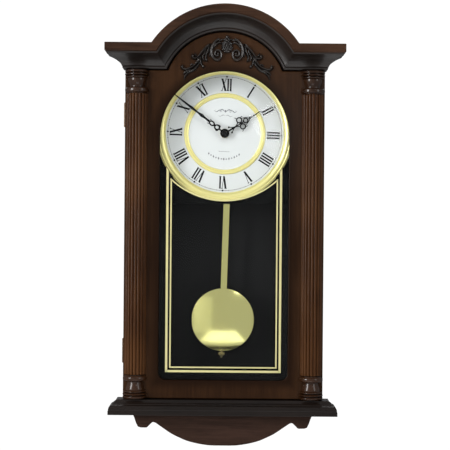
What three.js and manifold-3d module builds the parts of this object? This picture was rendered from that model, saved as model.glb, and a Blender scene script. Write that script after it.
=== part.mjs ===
// Schoolhouse wall clock: a chiming pendulum clock in an arched wooden case.
// Millimetres. +X is the viewer's right, the front faces -Y, +Z is up, the wall plane is y = 0,
// and the origin is the point where the hanger plate bears on its wall hook.
import * as THREE from "three";
import { mergeVertices } from "three/addons/utils/BufferGeometryUtils.js";
import Module from "manifold-3d";

const wasm = await Module();
wasm.setup();
const { Manifold, Mesh } = wasm;

// ---- driving dimensions -------------------------------------------------------------------
const GAP = 0.3;                 // clearance left between glued or seated pieces
const FACE_HALF = 155.5;         // half width of the face board
const BOARD_BACK = -74;          // face board, rear and front faces
const BOARD_FRONT = -84;
const DOOR_BACK = -85.6;         // door panel, rear and front faces
const DOOR_FRONT = -99;
const DOOR_HALF = 156;
const DOOR_BOTTOM = -513.3;
const DOOR_SHOULDER = -0.9;
const DOOR_GAP = 2;              // clearance of the door's arch inside the crown
const ARCH_Z = -37.5;            // centre of the arch of the crown
const ARCH_OUT = 137.5;
const ARCH_IN = 98.6;
const CROWN_BOTTOM = 0.5;        // underside of the crown's shoulders
const CROWN_HEIGHT = 38.9;
const RETURN_BACK = -74;         // where the mouldings' side returns end
const BASE_BOTTOM = -537.4;
const BASE_HEIGHT = 22.9;
const BOX_HALF = 137;            // half width of the case box behind the face board
const BOARD_T = 12;              // thickness of the box's sides, top and floor
const BOX_TOP = 36;
const BOX_FLOOR = -522;
const RAIL_BOTTOM = -34;         // hanging rail across the top of the back
const RAIL_T = 16;
const BACK_T = 5;
const WINDOW_HALF = 101;         // tombstone opening of the door
const WINDOW_ARCH_Z = -102.4;
const WINDOW_BOTTOM = -484.7;
const WINDOW_CORNER = 12;
const DIAL_Z = -96.7;            // dial centre
const DIAL_FRONT = -60;
const DIAL_T = 1.2;
const DIAL_BOARD_T = 6;
const BEZEL_OUT = 107.9;
const BEZEL_IN = 93.6;
const COLUMN_X = 137.3;
const COLUMN_R = 16.9;
const CAPITAL_TOP = -1.2;
const CAPITAL_BOTTOM = -37.6;
const FOOT_TOP = -475.9;
const FOOT_BOTTOM = -512.9;
const HINGE_X = -157;
const HINGE_Y = -84.8;
const HINGE_R = 1.5;
const HINGE_BORE = 0.9;
const HINGE_HALF = 19;           // half length of a butt hinge
const HINGE_Z = [-70, -440];
const MINUTE_ANGLE = 307.4;      // degrees clockwise from twelve
const HOUR_ANGLE = 57.8;
const MINUTE_LENGTH = 100;
const HOUR_LENGTH = 67;
const TRAIN_CENTRES = 12.5;      // distance between the motion work's arbors
const PIVOT_X = 5.1;             // pendulum pivot
const PIVOT_Z = -164;
const PENDULUM_Y = -42;
const PENDULUM_TILT = 1.5;       // degrees, bob to the viewer's left
const BOB_DROP = 229.2;          // pivot to bob centre
const BOB_R = 50.3;

// ---- materials: colour, roughness, metalness -----------------------------------------------
const WALNUT = [0x4a3020, 0.45, 0];
const EBONY = [0x1c1613, 0.4, 0];
const PINE = [0x9a7448, 0.7, 0];
const BOARD = [0x5d452e, 0.85, 0];
const BLACK = [0x15161a, 0.5, 0];
const BRASS = [0xd8b65a, 0.25, 1];
const STEEL = [0xa9adb2, 0.35, 1];
const PLASTIC = [0x222222, 0.55, 0];
const WHITE = [0xf4f4ee, 0.5, 0];
const GLASS = [0xbfd0cc, 0.05, 0, 0.25];
const PAPER = [0x2b2b2b, 0.9, 0];
const WRAP = [0x3b5b78, 0.35, 0.2];

// ---- helpers ---------------------------------------------------------------------------------
const rad = (d) => (d * Math.PI) / 180;

// One group for each piece that moves as a whole, placed at its own pivot.
const root = new THREE.Group();
root.name = "schoolhouse_wall_clock";
function group(name, x = 0, z = 0, turn = 0) {
  const made = new THREE.Group();
  made.name = name;
  made.position.set(x, 0, z);
  made.rotation.y = rad(turn);
  root.add(made);
  return made;
}
const clockCase = group("case_group");
const doorGroup = group("door_group");
const minuteGroup = group("minute_group", 0, DIAL_Z, MINUTE_ANGLE);
const hourGroup = group("hour_group", 0, DIAL_Z, HOUR_ANGLE);
const pendulum = group("pendulum_group", PIVOT_X, PIVOT_Z, PENDULUM_TILT);

function solid(geometry) {
  const g = geometry.index ? geometry.toNonIndexed() : geometry;
  const bare = new THREE.BufferGeometry().setAttribute("position", g.getAttribute("position"));
  const merged = mergeVertices(bare, 1e-4);
  const triVerts = new Uint32Array(merged.index.array);
  const vertProperties = new Float32Array(merged.attributes.position.array);
  let made = new Manifold(new Mesh({ numProp: 3, vertProperties, triVerts }));
  if (made.volume() < 0) {
    for (let i = 0; i < triVerts.length; i += 3) {
      [triVerts[i + 1], triVerts[i + 2]] = [triVerts[i + 2], triVerts[i + 1]];
    }
    made = new Manifold(new Mesh({ numProp: 3, vertProperties, triVerts }));
  }
  return made;
}

function add(name, body, [color, roughness, metalness, opacity = 1], parent = clockCase) {
  const mesh = body.getMesh();
  const position = new Float32Array((mesh.vertProperties.length / mesh.numProp) * 3);
  for (let i = 0; i < position.length / 3; i++) {
    for (let k = 0; k < 3; k++) position[i * 3 + k] = mesh.vertProperties[i * mesh.numProp + k];
  }
  const g = new THREE.BufferGeometry();
  g.setAttribute("position", new THREE.BufferAttribute(position, 3));
  g.setIndex(new THREE.BufferAttribute(new Uint32Array(mesh.triVerts), 1));
  const flat = g.toNonIndexed();
  flat.computeVertexNormals();
  const transparent = opacity < 1;
  const material = new THREE.MeshStandardMaterial({ color, roughness, metalness, opacity, transparent });
  const made = new THREE.Mesh(flat, material);
  made.name = name;
  parent.add(made);
}

const sum = (parts) => parts.reduce((a, b) => a.add(b));

function box(x0, x1, y0, y1, z0, z1) {
  const g = new THREE.BoxGeometry(x1 - x0, y1 - y0, z1 - z0);
  g.translate((x0 + x1) / 2, (y0 + y1) / 2, (z0 + z1) / 2);
  return solid(g);
}

// A shape drawn in (x, z), filled from y = back forward to y = front.
function plate(shape, back, front, curve = 12) {
  const settings = { depth: back - front, bevelEnabled: false, curveSegments: curve };
  const g = new THREE.ExtrudeGeometry(shape, settings);
  g.rotateX(Math.PI / 2);
  g.translate(0, back, 0);
  return solid(g);
}

// A shape drawn in (x, y), filled from z0 up to z1.
function prism(shape, z0, z1, curve = 12) {
  const settings = { depth: z1 - z0, bevelEnabled: false, curveSegments: curve };
  const g = new THREE.ExtrudeGeometry(shape, settings);
  g.translate(0, 0, z0);
  return solid(g);
}

// A turned piece about an axis along Y. The profile lists [radius, y].
function turnY(profile, x, z, segments = 32) {
  const points = profile.map(([r, y]) => new THREE.Vector2(r, y));
  const g = new THREE.LatheGeometry(points, segments);
  g.translate(x, 0, z);
  return solid(g);
}

// A turned piece about an axis along Z. The profile lists [radius, z].
function turnZ(profile, x, y, segments = 32) {
  const points = profile.map(([r, z]) => new THREE.Vector2(r, z));
  const g = new THREE.LatheGeometry(points, segments);
  g.rotateX(Math.PI / 2);
  g.translate(x, y, 0);
  return solid(g);
}

const rodY = (r, y0, y1, x, z, n = 24) => turnY([[0, y0], [r, y0], [r, y1], [0, y1]], x, z, n);
const rodZ = (r, z0, z1, x, y, n = 24) => turnZ([[0, z0], [r, z0], [r, z1], [0, z1]], x, y, n);

function polygon(points) {
  return new THREE.Shape(points.map(([x, y]) => new THREE.Vector2(x, y)));
}

function circlePoints(x, z, r, from, to, count) {
  const points = [];
  for (let i = 0; i <= count; i++) {
    const a = rad(from + ((to - from) * i) / count);
    points.push([x + r * Math.cos(a), z + r * Math.sin(a)]);
  }
  return points;
}

// Outline of a panel with square shoulders and an arch rising between them.
function archedOutline(half, bottom, shoulder, radius, count) {
  const side = Math.asin((shoulder - ARCH_Z) / radius);
  const start = (side * 180) / Math.PI;
  return [
    [-half, bottom],
    [half, bottom],
    [half, shoulder],
    ...circlePoints(0, ARCH_Z, radius, start, 180 - start, count),
    [-half, shoulder],
  ];
}

function tombstone(half, centre, bottom, corner, count) {
  return [
    ...circlePoints(half - corner, bottom + corner, corner, 270, 360, 4),
    ...circlePoints(0, centre, half, 0, 180, count),
    ...circlePoints(-half + corner, bottom + corner, corner, 180, 270, 4),
  ];
}

// A closed skin over a grid of sections; the first and last sections are capped.
function skin(sections) {
  const n = sections[0].length;
  const position = [];
  const corner = (p) => position.push(p[0], p[1], p[2]);
  const face = (a, b, c) => [a, b, c].forEach(corner);
  for (let s = 0; s + 1 < sections.length; s++) {
    for (let i = 0; i < n; i++) {
      const j = (i + 1) % n;
      face(sections[s][i], sections[s + 1][i], sections[s + 1][j]);
      face(sections[s][i], sections[s + 1][j], sections[s][j]);
    }
  }
  const cap = (section, first) => {
    const flat = section.map(([x, , z]) => new THREE.Vector2(x, z));
    const flip = THREE.ShapeUtils.area(flat) > 0 !== first;
    for (const [a, b, c] of THREE.ShapeUtils.triangulateShape(flat, [])) {
      if (flip) face(section[a], section[c], section[b]);
      else face(section[a], section[b], section[c]);
    }
  };
  cap(sections[0], true);
  cap(sections[sections.length - 1], false);
  const g = new THREE.BufferGeometry();
  g.setAttribute("position", new THREE.Float32BufferAttribute(position, 3));
  return g;
}

// ---- case box ----------------------------------------------------------------------------------
const boxBack = 0;
const boxFront = BOARD_BACK + GAP;
for (const side of [-1, 1]) {
  const x0 = side * BOX_HALF;
  const x1 = side * (BOX_HALF - BOARD_T);
  const board = box(Math.min(x0, x1), Math.max(x0, x1), boxFront, boxBack, BOX_FLOOR, BOX_TOP);
  add(side < 0 ? "case_side_left" : "case_side_right", board, WALNUT);
}
const inner = BOX_HALF - BOARD_T - GAP;
add("case_top", box(-inner, inner, boxFront, boxBack, BOX_TOP - BOARD_T, BOX_TOP), WALNUT);

let floor = box(-inner, inner, boxFront, boxBack, BOX_FLOOR, BOX_FLOOR + 8);
for (const dx of [-10, 10]) {
  for (const dy of [-10, 10]) floor = floor.subtract(rodZ(4, BOX_FLOOR - 5, BOX_FLOOR + 13, dx, -37 + dy, 10));
}
add("case_floor", floor, WALNUT);

const innerTop = BOX_TOP - BOARD_T - GAP;
const pocket = rodY(9, -12, 5, 0, -9, 24).add(box(-4, 4, -12, 5, -8, 6));
let rail = box(-inner, inner, -RAIL_T, 0, RAIL_BOTTOM, innerTop);
rail = rail.subtract(pocket).subtract(box(-22, 22, -3.6, 5, -24, 18));
for (const side of [-1, 1]) rail = rail.subtract(rodY(1.7, -12.4, 5, side * 15, -3, 12));
add("hanging_rail", rail, PINE);

let hanger = box(-21.7, 21.7, -3.3, -1.9, -23.7, 17.7);
hanger = hanger.subtract(rodY(5.5, -5, 5, 0, -11, 20)).subtract(box(-2.5, 2.5, -5, 5, -11, 0));
for (const side of [-1, 1]) hanger = hanger.subtract(rodY(2, -5, 5, side * 15, -3, 12));
add("hanger_plate", hanger, STEEL);
for (const side of [-1, 1]) {
  const profile = [[0, -12], [0.6, -11.6], [1.4, -9.8], [1.4, -1.6], [3.2, -1.6], [3, -0.6], [2, -0.2], [0, -0.2]];
  const screw = turnY(profile, side * 15, -3, 12);
  add(side < 0 ? "hanger_screw_left" : "hanger_screw_right", screw, STEEL);
}

const SERVICE = { x: 64, z0: -176, z1: -52 };
const backTop = RAIL_BOTTOM - GAP;
let back = box(-inner, inner, -BACK_T, 0, BOX_FLOOR + 8 + GAP, backTop);
back = back.subtract(box(-SERVICE.x, SERVICE.x, -20, 20, SERVICE.z0, SERVICE.z1));

// The service door turns on stubs moulded on its left edge; the stubs sit in blind holes in the panel.
const SERVICE_PIVOT = { x: -SERVICE.x + 3.2, y: -2.5, r: 1.6, stub: 1 };
for (const [z0, z1] of [[SERVICE.z0 - 3, SERVICE.z0 + 1], [SERVICE.z1 - 1, SERVICE.z1 + 3]]) {
  back = back.subtract(rodZ(SERVICE_PIVOT.stub + 0.3, z0, z1, SERVICE_PIVOT.x, SERVICE_PIVOT.y, 12));
}
add("back_panel", back, BOARD);
const LATCH = { x: SERVICE.x - 11, z: (SERVICE.z0 + SERVICE.z1) / 2 };
let service = box(SERVICE_PIVOT.x, SERVICE.x - 0.8, -4.2, -0.8, SERVICE.z0 + 0.8, SERVICE.z1 - 0.8);
service = service.add(rodZ(SERVICE_PIVOT.r, SERVICE.z0 + 0.8, SERVICE.z1 - 0.8, SERVICE_PIVOT.x, SERVICE_PIVOT.y, 14));
service = service.add(rodZ(SERVICE_PIVOT.stub, SERVICE.z0 - 2.4, SERVICE.z1 + 2.4, SERVICE_PIVOT.x, SERVICE_PIVOT.y, 12));
service = service.subtract(rodY(3.2, -10, 5, LATCH.x, LATCH.z, 16));
add("service_door", service, PLASTIC);

// The turn button's bar stands upright inside the door and turns to reach behind the back panel.
let button = rodY(2.8, -6.2, -1.2, LATCH.x, LATCH.z, 16);
button = button.add(box(LATCH.x - 3, LATCH.x + 3, -7.4, -5.6, LATCH.z - 4, LATCH.z + 15));
button = button.subtract(box(LATCH.x - 0.6, LATCH.x + 0.6, -2.2, 0, LATCH.z - 2.2, LATCH.z + 2.2));
add("service_turn_button", button, PLASTIC);

// ---- face board ---------------------------------------------------------------------------------
const innerHalf = BOX_HALF - BOARD_T;
const boardShoulder = CROWN_BOTTOM + CROWN_HEIGHT - 1;
const boardShape = polygon(archedOutline(FACE_HALF, BASE_BOTTOM, boardShoulder, ARCH_OUT - 1.5, 20));
const boardHole = [
  [-innerHalf, -513],
  [-innerHalf, -40],
  ...circlePoints(0, -40, innerHalf, 180, 0, 20).slice(1, -1),
  [innerHalf, -40],
  [innerHalf, -513],
].map(([x, z]) => [x, z > 22 ? 22 : z]);
boardShape.holes.push(new THREE.Path(boardHole.map(([x, z]) => new THREE.Vector2(x, z))));
let faceBoard = plate(boardShape, BOARD_BACK, BOARD_FRONT);
const MAGNET = { x: 144, z: -300, r: 5 };
faceBoard = faceBoard.subtract(rodY(MAGNET.r + 0.3, -90, -76, MAGNET.x, MAGNET.z, 20));
for (const z of HINGE_Z) {
  faceBoard = faceBoard.subtract(rodZ(HINGE_R + 0.4, z - HINGE_HALF - 1, z + HINGE_HALF + 1, HINGE_X, HINGE_Y, 16));
}
add("face_board", faceBoard, EBONY);
add("magnet_catch", rodY(MAGNET.r, -84.3, -76.4, MAGNET.x, MAGNET.z, 20), STEEL);

// ---- crown moulding -----------------------------------------------------------------------------
// Profile of the crown: [projection beyond the face, height above the crown's lower edge].
const CROWN_PROFILE = [
  [0.6, 0], [2.6, 0.3], [4.4, 1.6], [4.6, 3.2], [5.4, 5.2], [7.2, 8.8], [10.0, 12.4], [13.8, 15.6],
  [18.4, 18.6], [23.0, 20.8], [27.2, 22.6], [27.6, 24.6], [30.6, 26.5], [30.6, CROWN_HEIGHT],
];
const crownPath = (projection, height, glued) => {
  const front = glued ? BOARD_FRONT - GAP : DOOR_FRONT - projection;
  const sideX = glued ? FACE_HALF + GAP : DOOR_HALF + projection;
  const z = CROWN_BOTTOM + height;
  const radius = ARCH_IN + height;
  const start = Math.asin((z - ARCH_Z) / radius);
  const stations = [];
  const ARCH_STEPS = 18;
  stations.push([-sideX, RETURN_BACK, z], [-sideX, front, z]);
  for (let i = 0; i <= ARCH_STEPS; i++) {
    const a = Math.PI - start - ((Math.PI - 2 * start) * i) / ARCH_STEPS;
    stations.push([radius * Math.cos(a), front, ARCH_Z + radius * Math.sin(a)]);
  }
  stations.push([sideX, front, z], [sideX, RETURN_BACK, z]);
  return stations;
};
const crownLoop = [
  crownPath(0, 0, true),
  ...CROWN_PROFILE.map(([p, h]) => crownPath(p, h, false)),
  crownPath(0, CROWN_HEIGHT, true),
];
const crownSections = crownLoop[0].map((_, s) => crownLoop.map((path) => path[s]));
add("crown_moulding", solid(skin(crownSections)), EBONY);

// ---- base moulding and apron ------------------------------------------------------------------
const BASE_PROFILE = [
  [22, 0], [22, 6.4], [21.3, 7.0], [21.4, 8.4], [20.4, 11.6], [18.6, 14.0], [16.2, 15.4], [15.4, 15.5],
  [15.2, 16.6], [13.2, 18.0], [11.2, 19.8], [10.0, 21.4], [10.0, BASE_HEIGHT],
];
const basePath = (projection, height, glued) => {
  const front = glued ? BOARD_FRONT - GAP : DOOR_FRONT - projection;
  const sideX = glued ? FACE_HALF + GAP : DOOR_HALF + projection;
  const z = BASE_BOTTOM + height;
  return [[-sideX, RETURN_BACK, z], [-sideX, front, z], [sideX, front, z], [sideX, RETURN_BACK, z]];
};
const baseLoop = [
  basePath(0, 0, true),
  ...BASE_PROFILE.map(([p, h]) => basePath(p, h, false)),
  basePath(0, BASE_HEIGHT, true),
];
const baseSections = baseLoop[0].map((_, s) => baseLoop.map((path) => path[s]));
add("base_moulding", solid(skin(baseSections)), EBONY);

const APRON_HALF_OUTLINE = [
  [140.5, 0], [137.6, -7], [135.4, -13.6], [132.6, -18.6], [128, -21], [119, -21.6], [115.6, -19.6], [112.6, -15.6],
  [108.6, -13.2], [104.4, -14.2], [93, -22], [80.9, -30.1], [68, -36.6], [55.5, -41.8], [40, -45.8], [23.6, -48.4],
  [12, -49],
];
const apronTop = BASE_BOTTOM - GAP;
const apronRight = APRON_HALF_OUTLINE.map(([x, z]) => [x, apronTop + z]);
const apronLeft = apronRight.map(([x, z]) => [-x, z]).reverse();
add("apron", plate(polygon([...apronLeft, ...apronRight]), -86, -98.5), WALNUT);

// ---- door ----------------------------------------------------------------------------------------
const doorShape = polygon(archedOutline(DOOR_HALF, DOOR_BOTTOM, DOOR_SHOULDER, ARCH_IN - DOOR_GAP, 22));
const windowOutline = tombstone(WINDOW_HALF, WINDOW_ARCH_Z, WINDOW_BOTTOM, WINDOW_CORNER, 22);
doorShape.holes.push(new THREE.Path(windowOutline.map(([x, z]) => new THREE.Vector2(x, z))));
let door = plate(doorShape, DOOR_BACK, DOOR_FRONT);
const RABBET = 5;
const paneOutline = (inset) =>
  polygon(
    tombstone(WINDOW_HALF + RABBET - inset, WINDOW_ARCH_Z, WINDOW_BOTTOM - RABBET + inset, WINDOW_CORNER + 2, 22),
  );
door = door.subtract(plate(paneOutline(0), -80, -92));
for (const z of HINGE_Z) {
  door = door.subtract(rodZ(HINGE_R + 0.4, z - HINGE_HALF - 1, z + HINGE_HALF + 1, HINGE_X, HINGE_Y, 16));
}
door = door.subtract(rodY(7.3, -86.8, -80, MAGNET.x, MAGNET.z, 20));
add("door_panel", door, WALNUT, doorGroup);
add("door_glass", plate(paneOutline(0.4), -89.6, -91.7), GLASS, doorGroup);
const strip = paneOutline(0.4);
const stripHole = tombstone(WINDOW_HALF + 1, WINDOW_ARCH_Z, WINDOW_BOTTOM - 1, WINDOW_CORNER, 22);
strip.holes.push(new THREE.Path(stripHole.map(([x, z]) => new THREE.Vector2(x, z))));
add("glass_retainer", plate(strip, -86.2, -89.3), EBONY, doorGroup);
add("strike_plate", rodY(7, -86.6, -85.4, MAGNET.x, MAGNET.z, 20), STEEL, doorGroup);

// ---- hinges ----------------------------------------------------------------------------------------
const names = ["top", "bottom"];
HINGE_Z.forEach((z, i) => {
  const third = (2 * HINGE_HALF) / 3;
  const lo = z - HINGE_HALF;
  const bore = rodZ(HINGE_BORE, lo - 5, lo + 2 * HINGE_HALF + 5, HINGE_X, HINGE_Y, 8);
  const knuckle = (z0, z1) => rodZ(HINGE_R, z0 + 0.15, z1 - 0.15, HINGE_X, HINGE_Y, 12);
  const slot = (z0, z1) => box(HINGE_X - 3, HINGE_X + HINGE_R + 0.3, -90, -80, z0, z1);
  let caseLeaf = box(HINGE_X + 0.9, HINGE_X + 16, -84.65, -84.15, lo + 0.15, lo + 2 * HINGE_HALF - 0.15);
  caseLeaf = caseLeaf.subtract(slot(lo + third - 0.15, lo + 2 * third + 0.15));
  caseLeaf = caseLeaf.add(knuckle(lo, lo + third)).add(knuckle(lo + 2 * third, lo + 3 * third)).subtract(bore);
  add(`hinge_${names[i]}_case_leaf`, caseLeaf, BRASS);
  let doorLeaf = box(HINGE_X + 0.9, HINGE_X + 16, -85.45, -84.95, lo + 0.15, lo + 2 * HINGE_HALF - 0.15);
  doorLeaf = doorLeaf.subtract(slot(lo - 1, lo + third + 0.15)).subtract(slot(lo + 2 * third - 0.15, lo + 60));
  doorLeaf = doorLeaf.add(knuckle(lo + third, lo + 2 * third)).subtract(bore);
  add(`hinge_${names[i]}_door_leaf`, doorLeaf, BRASS, doorGroup);
  const pin = rodZ(HINGE_BORE - 0.25, lo - 0.4, lo + 3 * third + 0.4, HINGE_X, HINGE_Y, 8);
  add(`hinge_${names[i]}_pin`, pin, BRASS);
});

// ---- columns ----------------------------------------------------------------------------------------
const REEDS = 9;
const halfSpace = box(-300, 300, DOOR_FRONT - GAP, 100, -700, 300);
const reededHalf = () => {
  const points = [];
  for (let i = 0; i < REEDS; i++) {
    const step = 180 / REEDS;
    for (const [f, r] of [[0, -1.5], [0.22, -0.35], [0.5, 0], [0.78, -0.35]]) {
      const a = rad(180 + (i + f) * step);
      points.push([(COLUMN_R + r) * Math.cos(a), (COLUMN_R + r) * Math.sin(a)]);
    }
  }
  points.push([COLUMN_R - 1.5, 0]);
  return points.map(([x, y]) => [x, y + DOOR_FRONT - GAP]);
};
const CAPITAL = [
  [0, 0], [17.6, 0], [18.5, -1.3], [17.4, -2.6], [18.6, -4.4], [17.2, -5.9], [18.2, -7.4], [17.0, -9.0], [15.4, -9.8],
  [15.3, -12], [14.6, -18], [14.9, -24], [15.4, -26.6], [16.4, -28.2], [18.4, -30.2], [18.6, -33], [17.6, -35.4],
  [16.6, -36.4], [0, -36.4],
];
for (const side of [-1, 1]) {
  const label = side < 0 ? "left" : "right";
  const x = side * COLUMN_X;
  const outline = polygon(reededHalf().map(([px, py]) => [px + x, py]));
  add(`column_shaft_${label}`, prism(outline, FOOT_TOP + GAP, CAPITAL_BOTTOM - GAP), WALNUT, doorGroup);
  const capital = CAPITAL.map(([r, z]) => [r, CAPITAL_TOP + z]).reverse();
  add(`column_capital_${label}`, turnZ(capital, x, DOOR_FRONT - GAP, 20).subtract(halfSpace), WALNUT, doorGroup);
  const foot = CAPITAL.map(([r, z]) => [r, FOOT_BOTTOM - z]);
  add(`column_foot_${label}`, turnZ(foot, x, DOOR_FRONT - GAP, 20).subtract(halfSpace), WALNUT, doorGroup);
}

// ---- carved scroll-and-leaf applique ----------------------------------------------------------
const CARVE_BACK = DOOR_FRONT - GAP;
function strand(points, widths, height) {
  // A raised ribbon that follows the points, drawn in (x, z), with a half width at each point.
  const curve = new THREE.CatmullRomCurve3(points.map(([x, z]) => new THREE.Vector3(x, z, 0)), false, "centripetal");
  const count = points.length * 2;
  const left = [];
  const right = [];
  for (let i = 0; i <= count; i++) {
    const t = i / count;
    const p = curve.getPoint(t);
    const d = curve.getTangent(t);
    const f = t * (widths.length - 1);
    const k = Math.min(Math.floor(f), widths.length - 2);
    const w = widths[k] + (widths[k + 1] - widths[k]) * (f - k);
    left.push([p.x - d.y * w, p.y + d.x * w]);
    right.push([p.x + d.y * w, p.y - d.x * w]);
  }
  return plate(polygon([...left, ...right.reverse()]), CARVE_BACK, CARVE_BACK - height);
}
const SCROLL = [[4, 43], [12, 40], [17.5, 31], [18.5, 21], [14, 12.5], [7.5, 14], [6.5, 21], [11, 23.5], [13.4, 19]];
const BRANCH = [[19, 34], [27, 35], [40, 27], [52, 17], [61, 5], [67, -6], [66, -18]];
const LEAVES = [
  [[30, 32], [31, 24], [27, 16]],
  [[42, 26], [43, 17], [38, 8]],
  [[50, 18], [53, 8], [50, -2]],
  [[60, 6], [57, -4], [59, -12]],
];
const carving = [];
for (const side of [-1, 1]) {
  const flip = (list) => list.map(([x, z]) => [side * x, z]);
  carving.push(strand(flip(SCROLL), [2.4, 2.8, 2.4, 2.2, 1.6], 9));
  carving.push(strand(flip(BRANCH), [3.4, 3.6, 3, 2.6, 0.8], 6.5));
  for (const leaf of LEAVES) carving.push(strand(flip(leaf), [2.6, 2.8, 0.8], 5));
}
const cartouche = circlePoints(0, 31, 12, 0, 345, 23).map(([x, z]) => [x, z]);
carving.push(plate(polygon(cartouche), CARVE_BACK, CARVE_BACK - 5.5));
const finial = circlePoints(0, 45.5, 5, 0, 330, 11);
carving.push(plate(polygon(finial), CARVE_BACK, CARVE_BACK - 8));
add("carving", sum(carving), EBONY, doorGroup);

// ---- dial -------------------------------------------------------------------------------------------
const dialBack = DIAL_FRONT + DIAL_T;
const boardFace = dialBack + GAP;
let dialBoard = box(-inner + GAP, inner - GAP, boardFace, boardFace + DIAL_BOARD_T, -208, innerTop - GAP);
dialBoard = dialBoard.subtract(rodY(5.4, -80, -30, 0, DIAL_Z, 20));
add("dial_board", dialBoard, BLACK);
const DIAL_PROFILE = [[5.4, DIAL_FRONT], [5.4, dialBack], [106, dialBack], [106, DIAL_FRONT], [5.4, DIAL_FRONT]];
add("dial_plate", turnY(DIAL_PROFILE, 0, DIAL_Z, 44), WHITE);
const bezelFoot = DIAL_FRONT - GAP;
const bezel = turnY(
  [
    [BEZEL_IN, bezelFoot], [BEZEL_IN, -61.5], [95.2, -64.6], [97.6, -66.6], [99.8, -67], [101.2, -66.4], [101.8, -67.4],
    [104, -68.6], [106.4, -68], [BEZEL_OUT, -66], [BEZEL_OUT, bezelFoot], [BEZEL_IN, bezelFoot],
  ],
  0, DIAL_Z, 44,
);
add("dial_bezel", bezel, BRASS);
const RING_PROFILE = [
  [57.4, bezelFoot], [57.4, -61], [59.2, -62.4], [62.9, -62.4], [64.7, -61], [64.7, bezelFoot], [57.4, bezelFoot],
];
add("dial_ring", turnY(RING_PROFILE, 0, DIAL_Z, 36), BRASS);

// ---- hands --------------------------------------------------------------------------------------------
// Hands are drawn about the centre, pointing up; their groups turn them to the hour.
function disc(x, z, r, n = 12) {
  return polygon(circlePoints(x, z, r, 0, 360 - 360 / n, n - 1));
}
const pressing = (shapes, back, front) => sum(shapes.map((shape) => plate(shape, back, front)));
const MINUTE = { back: -69.4, front: -70.4, bore: 1.7 };
const minuteSolid = pressing(
  [
    disc(0, 0, 7, 16), disc(-0.4, 14.4, 5.4), disc(0.4, 25, 4.6), disc(0, 45.8, 2.4, 10), disc(0, 65.5, 1.6, 8),
    polygon([[-1.6, 5], [1.6, 5], [1.6, 11], [-1.6, 11]]),
    polygon([[-1.8, 18], [1.8, 18], [1.8, 22], [-1.8, 22]]),
    polygon([
      [-1.1, 28], [1.1, 28], [1.3, 45], [1.1, 66], [0.25, MINUTE_LENGTH], [-0.25, MINUTE_LENGTH], [-1.1, 66], [-1.3, 45],
    ]),
  ],
  MINUTE.back, MINUTE.front,
);
const minuteLoops = pressing([disc(-0.4, 14.4, 3.4), disc(0.4, 25, 2.7)], MINUTE.back + 1, MINUTE.front - 1);
const minuteBore = rodY(MINUTE.bore, -80, -60, 0, 0, 16);
add("minute_hand", minuteSolid.subtract(minuteLoops).subtract(minuteBore), BLACK, minuteGroup);

const HOUR = { back: -65.4, front: -66.4, bore: 3.2 };
const TREFOIL = [[-4.9, 29.6], [4.9, 29.6], [0, 38.3]];
const hourSolid = pressing(
  [
    disc(0, 0, 7.4, 16), ...TREFOIL.map(([x, z]) => disc(x, z, 5.1)),
    disc(-2.5, 34, 1.3, 8), disc(2.5, 34, 1.3, 8),
    polygon([[-4.6, 5], [-2.4, 5], [2.6, 26], [0.6, 27]]),
    polygon([[2.4, 5], [4.6, 5], [-0.6, 27], [-2.6, 26]]),
    polygon([[-1, 42], [1, 42], [0.3, HOUR_LENGTH], [-0.3, HOUR_LENGTH]]),
  ],
  HOUR.back, HOUR.front,
);
const hourRings = pressing(TREFOIL.map(([x, z]) => disc(x, z, 3.4)), HOUR.back + 1, HOUR.front - 1);
const hourBore = rodY(HOUR.bore, -80, -60, 0, 0, 16);
add("hour_hand", hourSolid.subtract(hourRings).subtract(hourBore), BLACK, hourGroup);

const HAND_NUT = [
  [1.7, -70.6], [4.1, -70.6], [4.1, -71.6], [3.4, -72.6], [2.6, -73], [2.4, -74.2], [1.6, -75], [0, -75.2], [0, -73.4],
  [1.7, -73.4], [1.7, -70.6],
];
add("hand_nut", turnY(HAND_NUT, 0, 0, 16), BLACK, minuteGroup);

// ---- motion work: cannon pinion, minute wheel, hour wheel and setting pinion -----------------------
// Teeth are straight-flanked with wide gaps, so the train turns freely.
function gearPoints(teeth, pitchRadius, addendum, dedendum, phase) {
  const points = [];
  const step = 360 / teeth;
  for (let i = 0; i < teeth; i++) {
    const at = phase + i * step;
    const root = pitchRadius - dedendum;
    const tip = pitchRadius + addendum;
    for (const [f, r] of [[-0.23, root], [-0.1, tip], [0.1, tip], [0.23, root]]) {
      const a = rad(at + f * step);
      points.push([r * Math.cos(a), r * Math.sin(a)]);
    }
  }
  return points;
}
function gear(teeth, pitchRadius, back, front, x, z, phase) {
  const module = (2 * pitchRadius) / teeth;
  const points = gearPoints(teeth, pitchRadius, 0.7 * module, 0.95 * module, phase);
  return plate(polygon(points.map(([px, pz]) => [px + x, pz + z])), back, front);
}
const WHEEL_Z = DIAL_Z + TRAIN_CENTRES;        // the minute wheel's arbor is above the centre
const KNOB_Z = WHEEL_Z + TRAIN_CENTRES;        // the setting pinion is above the minute wheel
const CANNON_R = TRAIN_CENTRES / 4;            // 12 teeth against 36
const MINUTE_WHEEL_R = TRAIN_CENTRES - CANNON_R;
const PINION_R = TRAIN_CENTRES / 5;            // 10 teeth against 40
const HOUR_WHEEL_R = TRAIN_CENTRES - PINION_R;

let hourWheel = gear(40, HOUR_WHEEL_R, -48.7, -49.9, 0, DIAL_Z, 90 + 4.5);
hourWheel = hourWheel.add(rodY(2.7, -66.9, -49.8, 0, DIAL_Z, 20)).subtract(rodY(1.75, -80, -40, 0, DIAL_Z, 16));
add("hour_wheel", hourWheel, BRASS);

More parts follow.
